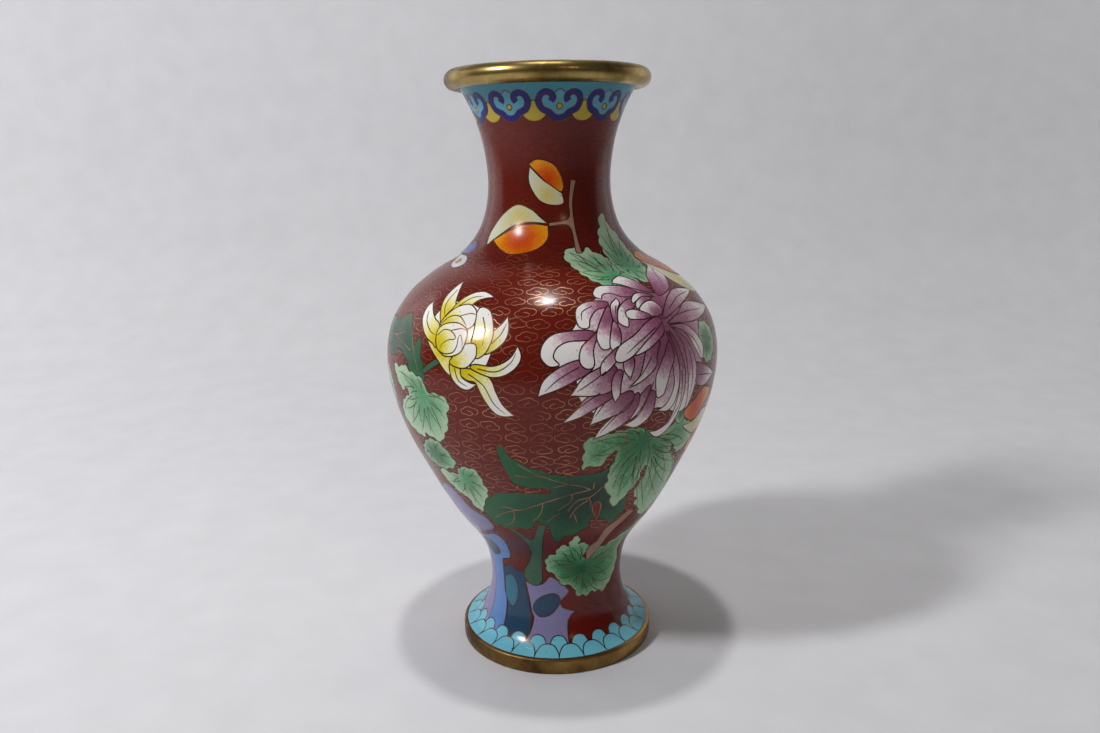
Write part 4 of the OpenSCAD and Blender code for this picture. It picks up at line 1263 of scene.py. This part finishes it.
# %% [markdown]
# ## Copper
# The body was raised from sheet copper and brazed. It hardly shows under the enamel. The fire left
# it brown in patches and fairly rough.

# %% Copper finish
copper = metal("raised copper", "#b87346", "#8a4f32", rough=(0.35, 0.55), patch=50)
for node in ("neck_shell", "shoulder_shell", "belly_shell", "foot_shell", "base_plate"):
    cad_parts[node].data.materials.clear()
    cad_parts[node].data.materials.append(copper)
    print(node, "is", copper.name)

# %% [markdown]
# ## The table
# A plain pale sheet lies under the vase and curves up behind it, so no edge shows. A table and a
# separate wall would do, but would leave a hard line behind the foot. The paper is matt and nearly
# even, so only the vase shines.

# %% Paper sweep
HALF_WIDTH = 4
SWEEP = [(-4, 0), (0.3, 0), (0.42, 0.012), (0.52, 0.05), (0.59, 0.12), (0.62, 0.22), (0.63, 1.5)]
sheet_mesh = bpy.data.meshes.new("paper_sweep")
sheet_mesh.from_pydata([(x, y, z) for y, z in SWEEP for x in (-HALF_WIDTH, HALF_WIDTH)], [],
                       [(2 * i, 2 * i + 1, 2 * i + 3, 2 * i + 2) for i in range(len(SWEEP) - 1)])
sheet_mesh.polygons.foreach_set("use_smooth", [True] * len(sheet_mesh.polygons))
sweep = bpy.data.objects.new("paper_sweep", sheet_mesh)
bpy.context.scene.collection.objects.link(sweep)
paper = new_material("matt white paper")
fibre = add(paper, "ShaderNodeTexNoise",
            [("Vector", add(paper, "ShaderNodeTexCoord"), "Object")], Scale=40)
tone = add(paper, "ShaderNodeValToRGB", [("Fac", fibre, "Fac")], [(0.3, "#dfdfe1"), (0.7, "#e4e4e6")])
sheet = add(paper, "ShaderNodeBsdfPrincipled", [("Base Color", tone, "Color")], Roughness=0.9)
add(paper, "ShaderNodeOutputMaterial", [("Surface", sheet, 0)])
sheet_mesh.materials.append(paper)
sweep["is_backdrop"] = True
print("sheet of", len(SWEEP) - 1, "strips")

# %% [markdown]
# ## The room
# The room lights the vase a little from all round, and the polish mirrors it faintly. What shows
# behind the vase is a pale far wall, which would be too bright to light it with. A picture of a
# real room could be wrapped round instead, but it would put things in the polish that aren't here.

# %% Room
room = bpy.data.worlds.new("dim room")
bpy.context.scene.world = room
room.use_nodes = True
dim = room.node_tree.nodes["Background"]
dim.inputs[0].default_value = colour("#e4e0e6")
dim.inputs[1].default_value = 0.09
far_wall = add(room, "ShaderNodeBackground", Color=colour("#b4b2b3"), Strength=1.0)
seen = add(room, "ShaderNodeLightPath")
room_light = add(room, "ShaderNodeMixShader",
                 [("Fac", seen, "Is Camera Ray"), (1, dim, 0), (2, far_wall, 0)])
room.node_tree.links.new(room_light.outputs[0], room.node_tree.nodes["World Output"].inputs[0])
print("room strength", round(dim.inputs[1].default_value, 2))


# %% [markdown]
# ## The lamps
# A tall window high on the left gives the streak on the shoulder and the glint on the neck. A lamp
# overhead lights the shoulder and throws the shadow under the belly, a small warm one stands on the
# right, and cloth on both sides gives the pale reflections down the edges. One large soft lamp would
# be simpler, but the polish would show it as a single wide patch.

# %% Lamps
def lamp(name, place, aim, size, power, hue="#ffffff"):
    """A rectangular lamp at a place in metres, turned to face its aim."""
    light = bpy.data.lights.new(name, "AREA")
    light.shape, light.energy, light.color = "RECTANGLE", power, colour(hue)[:3]
    light.size, light.size_y = size
    holder = bpy.data.objects.new(name, light)
    bpy.context.scene.collection.objects.link(holder)
    holder.location = place
    holder.rotation_euler = (Vector(aim) - Vector(place)).to_track_quat("-Z", "Y").to_euler()
    print(f"{name}: {power} W")


lamp("window", (-0.69, -0.39, 0.81), (0, 0, 0.1), (0.09, 0.2), 6.2, "#fbfbff")
lamp("ceiling", (-0.035, -0.04, 1.3), (0, 0, 0.1), (0.07, 0.07), 4)
lamp("right_lamp", (0.5, -1.1, 0.9), (0, 0, 0.15), (0.05, 0.05), 0.6, "#ffd9a8")
lamp("left_cloth", (-0.75, 0.35, 0.35), (0, 0, 0.12), (0.6, 0.6), 1)
lamp("right_cloth", (0.75, 0.35, 0.35), (0, 0, 0.12), (0.6, 0.6), 0.6)
bpy.context.scene.view_settings.view_transform = "Standard"

# %% [markdown]
# ## The size
# Both boxes are printed: the CAD vase's and the finished one's. The finished vase has
# to stay the size of the CAD one.

# %% Size
bpy.context.view_layer.update()
made_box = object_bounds()
for label, box in (("CAD box", cad_box), ("finished", made_box)):
    print(label, [round(v / MM, 1) for v in box[1]])
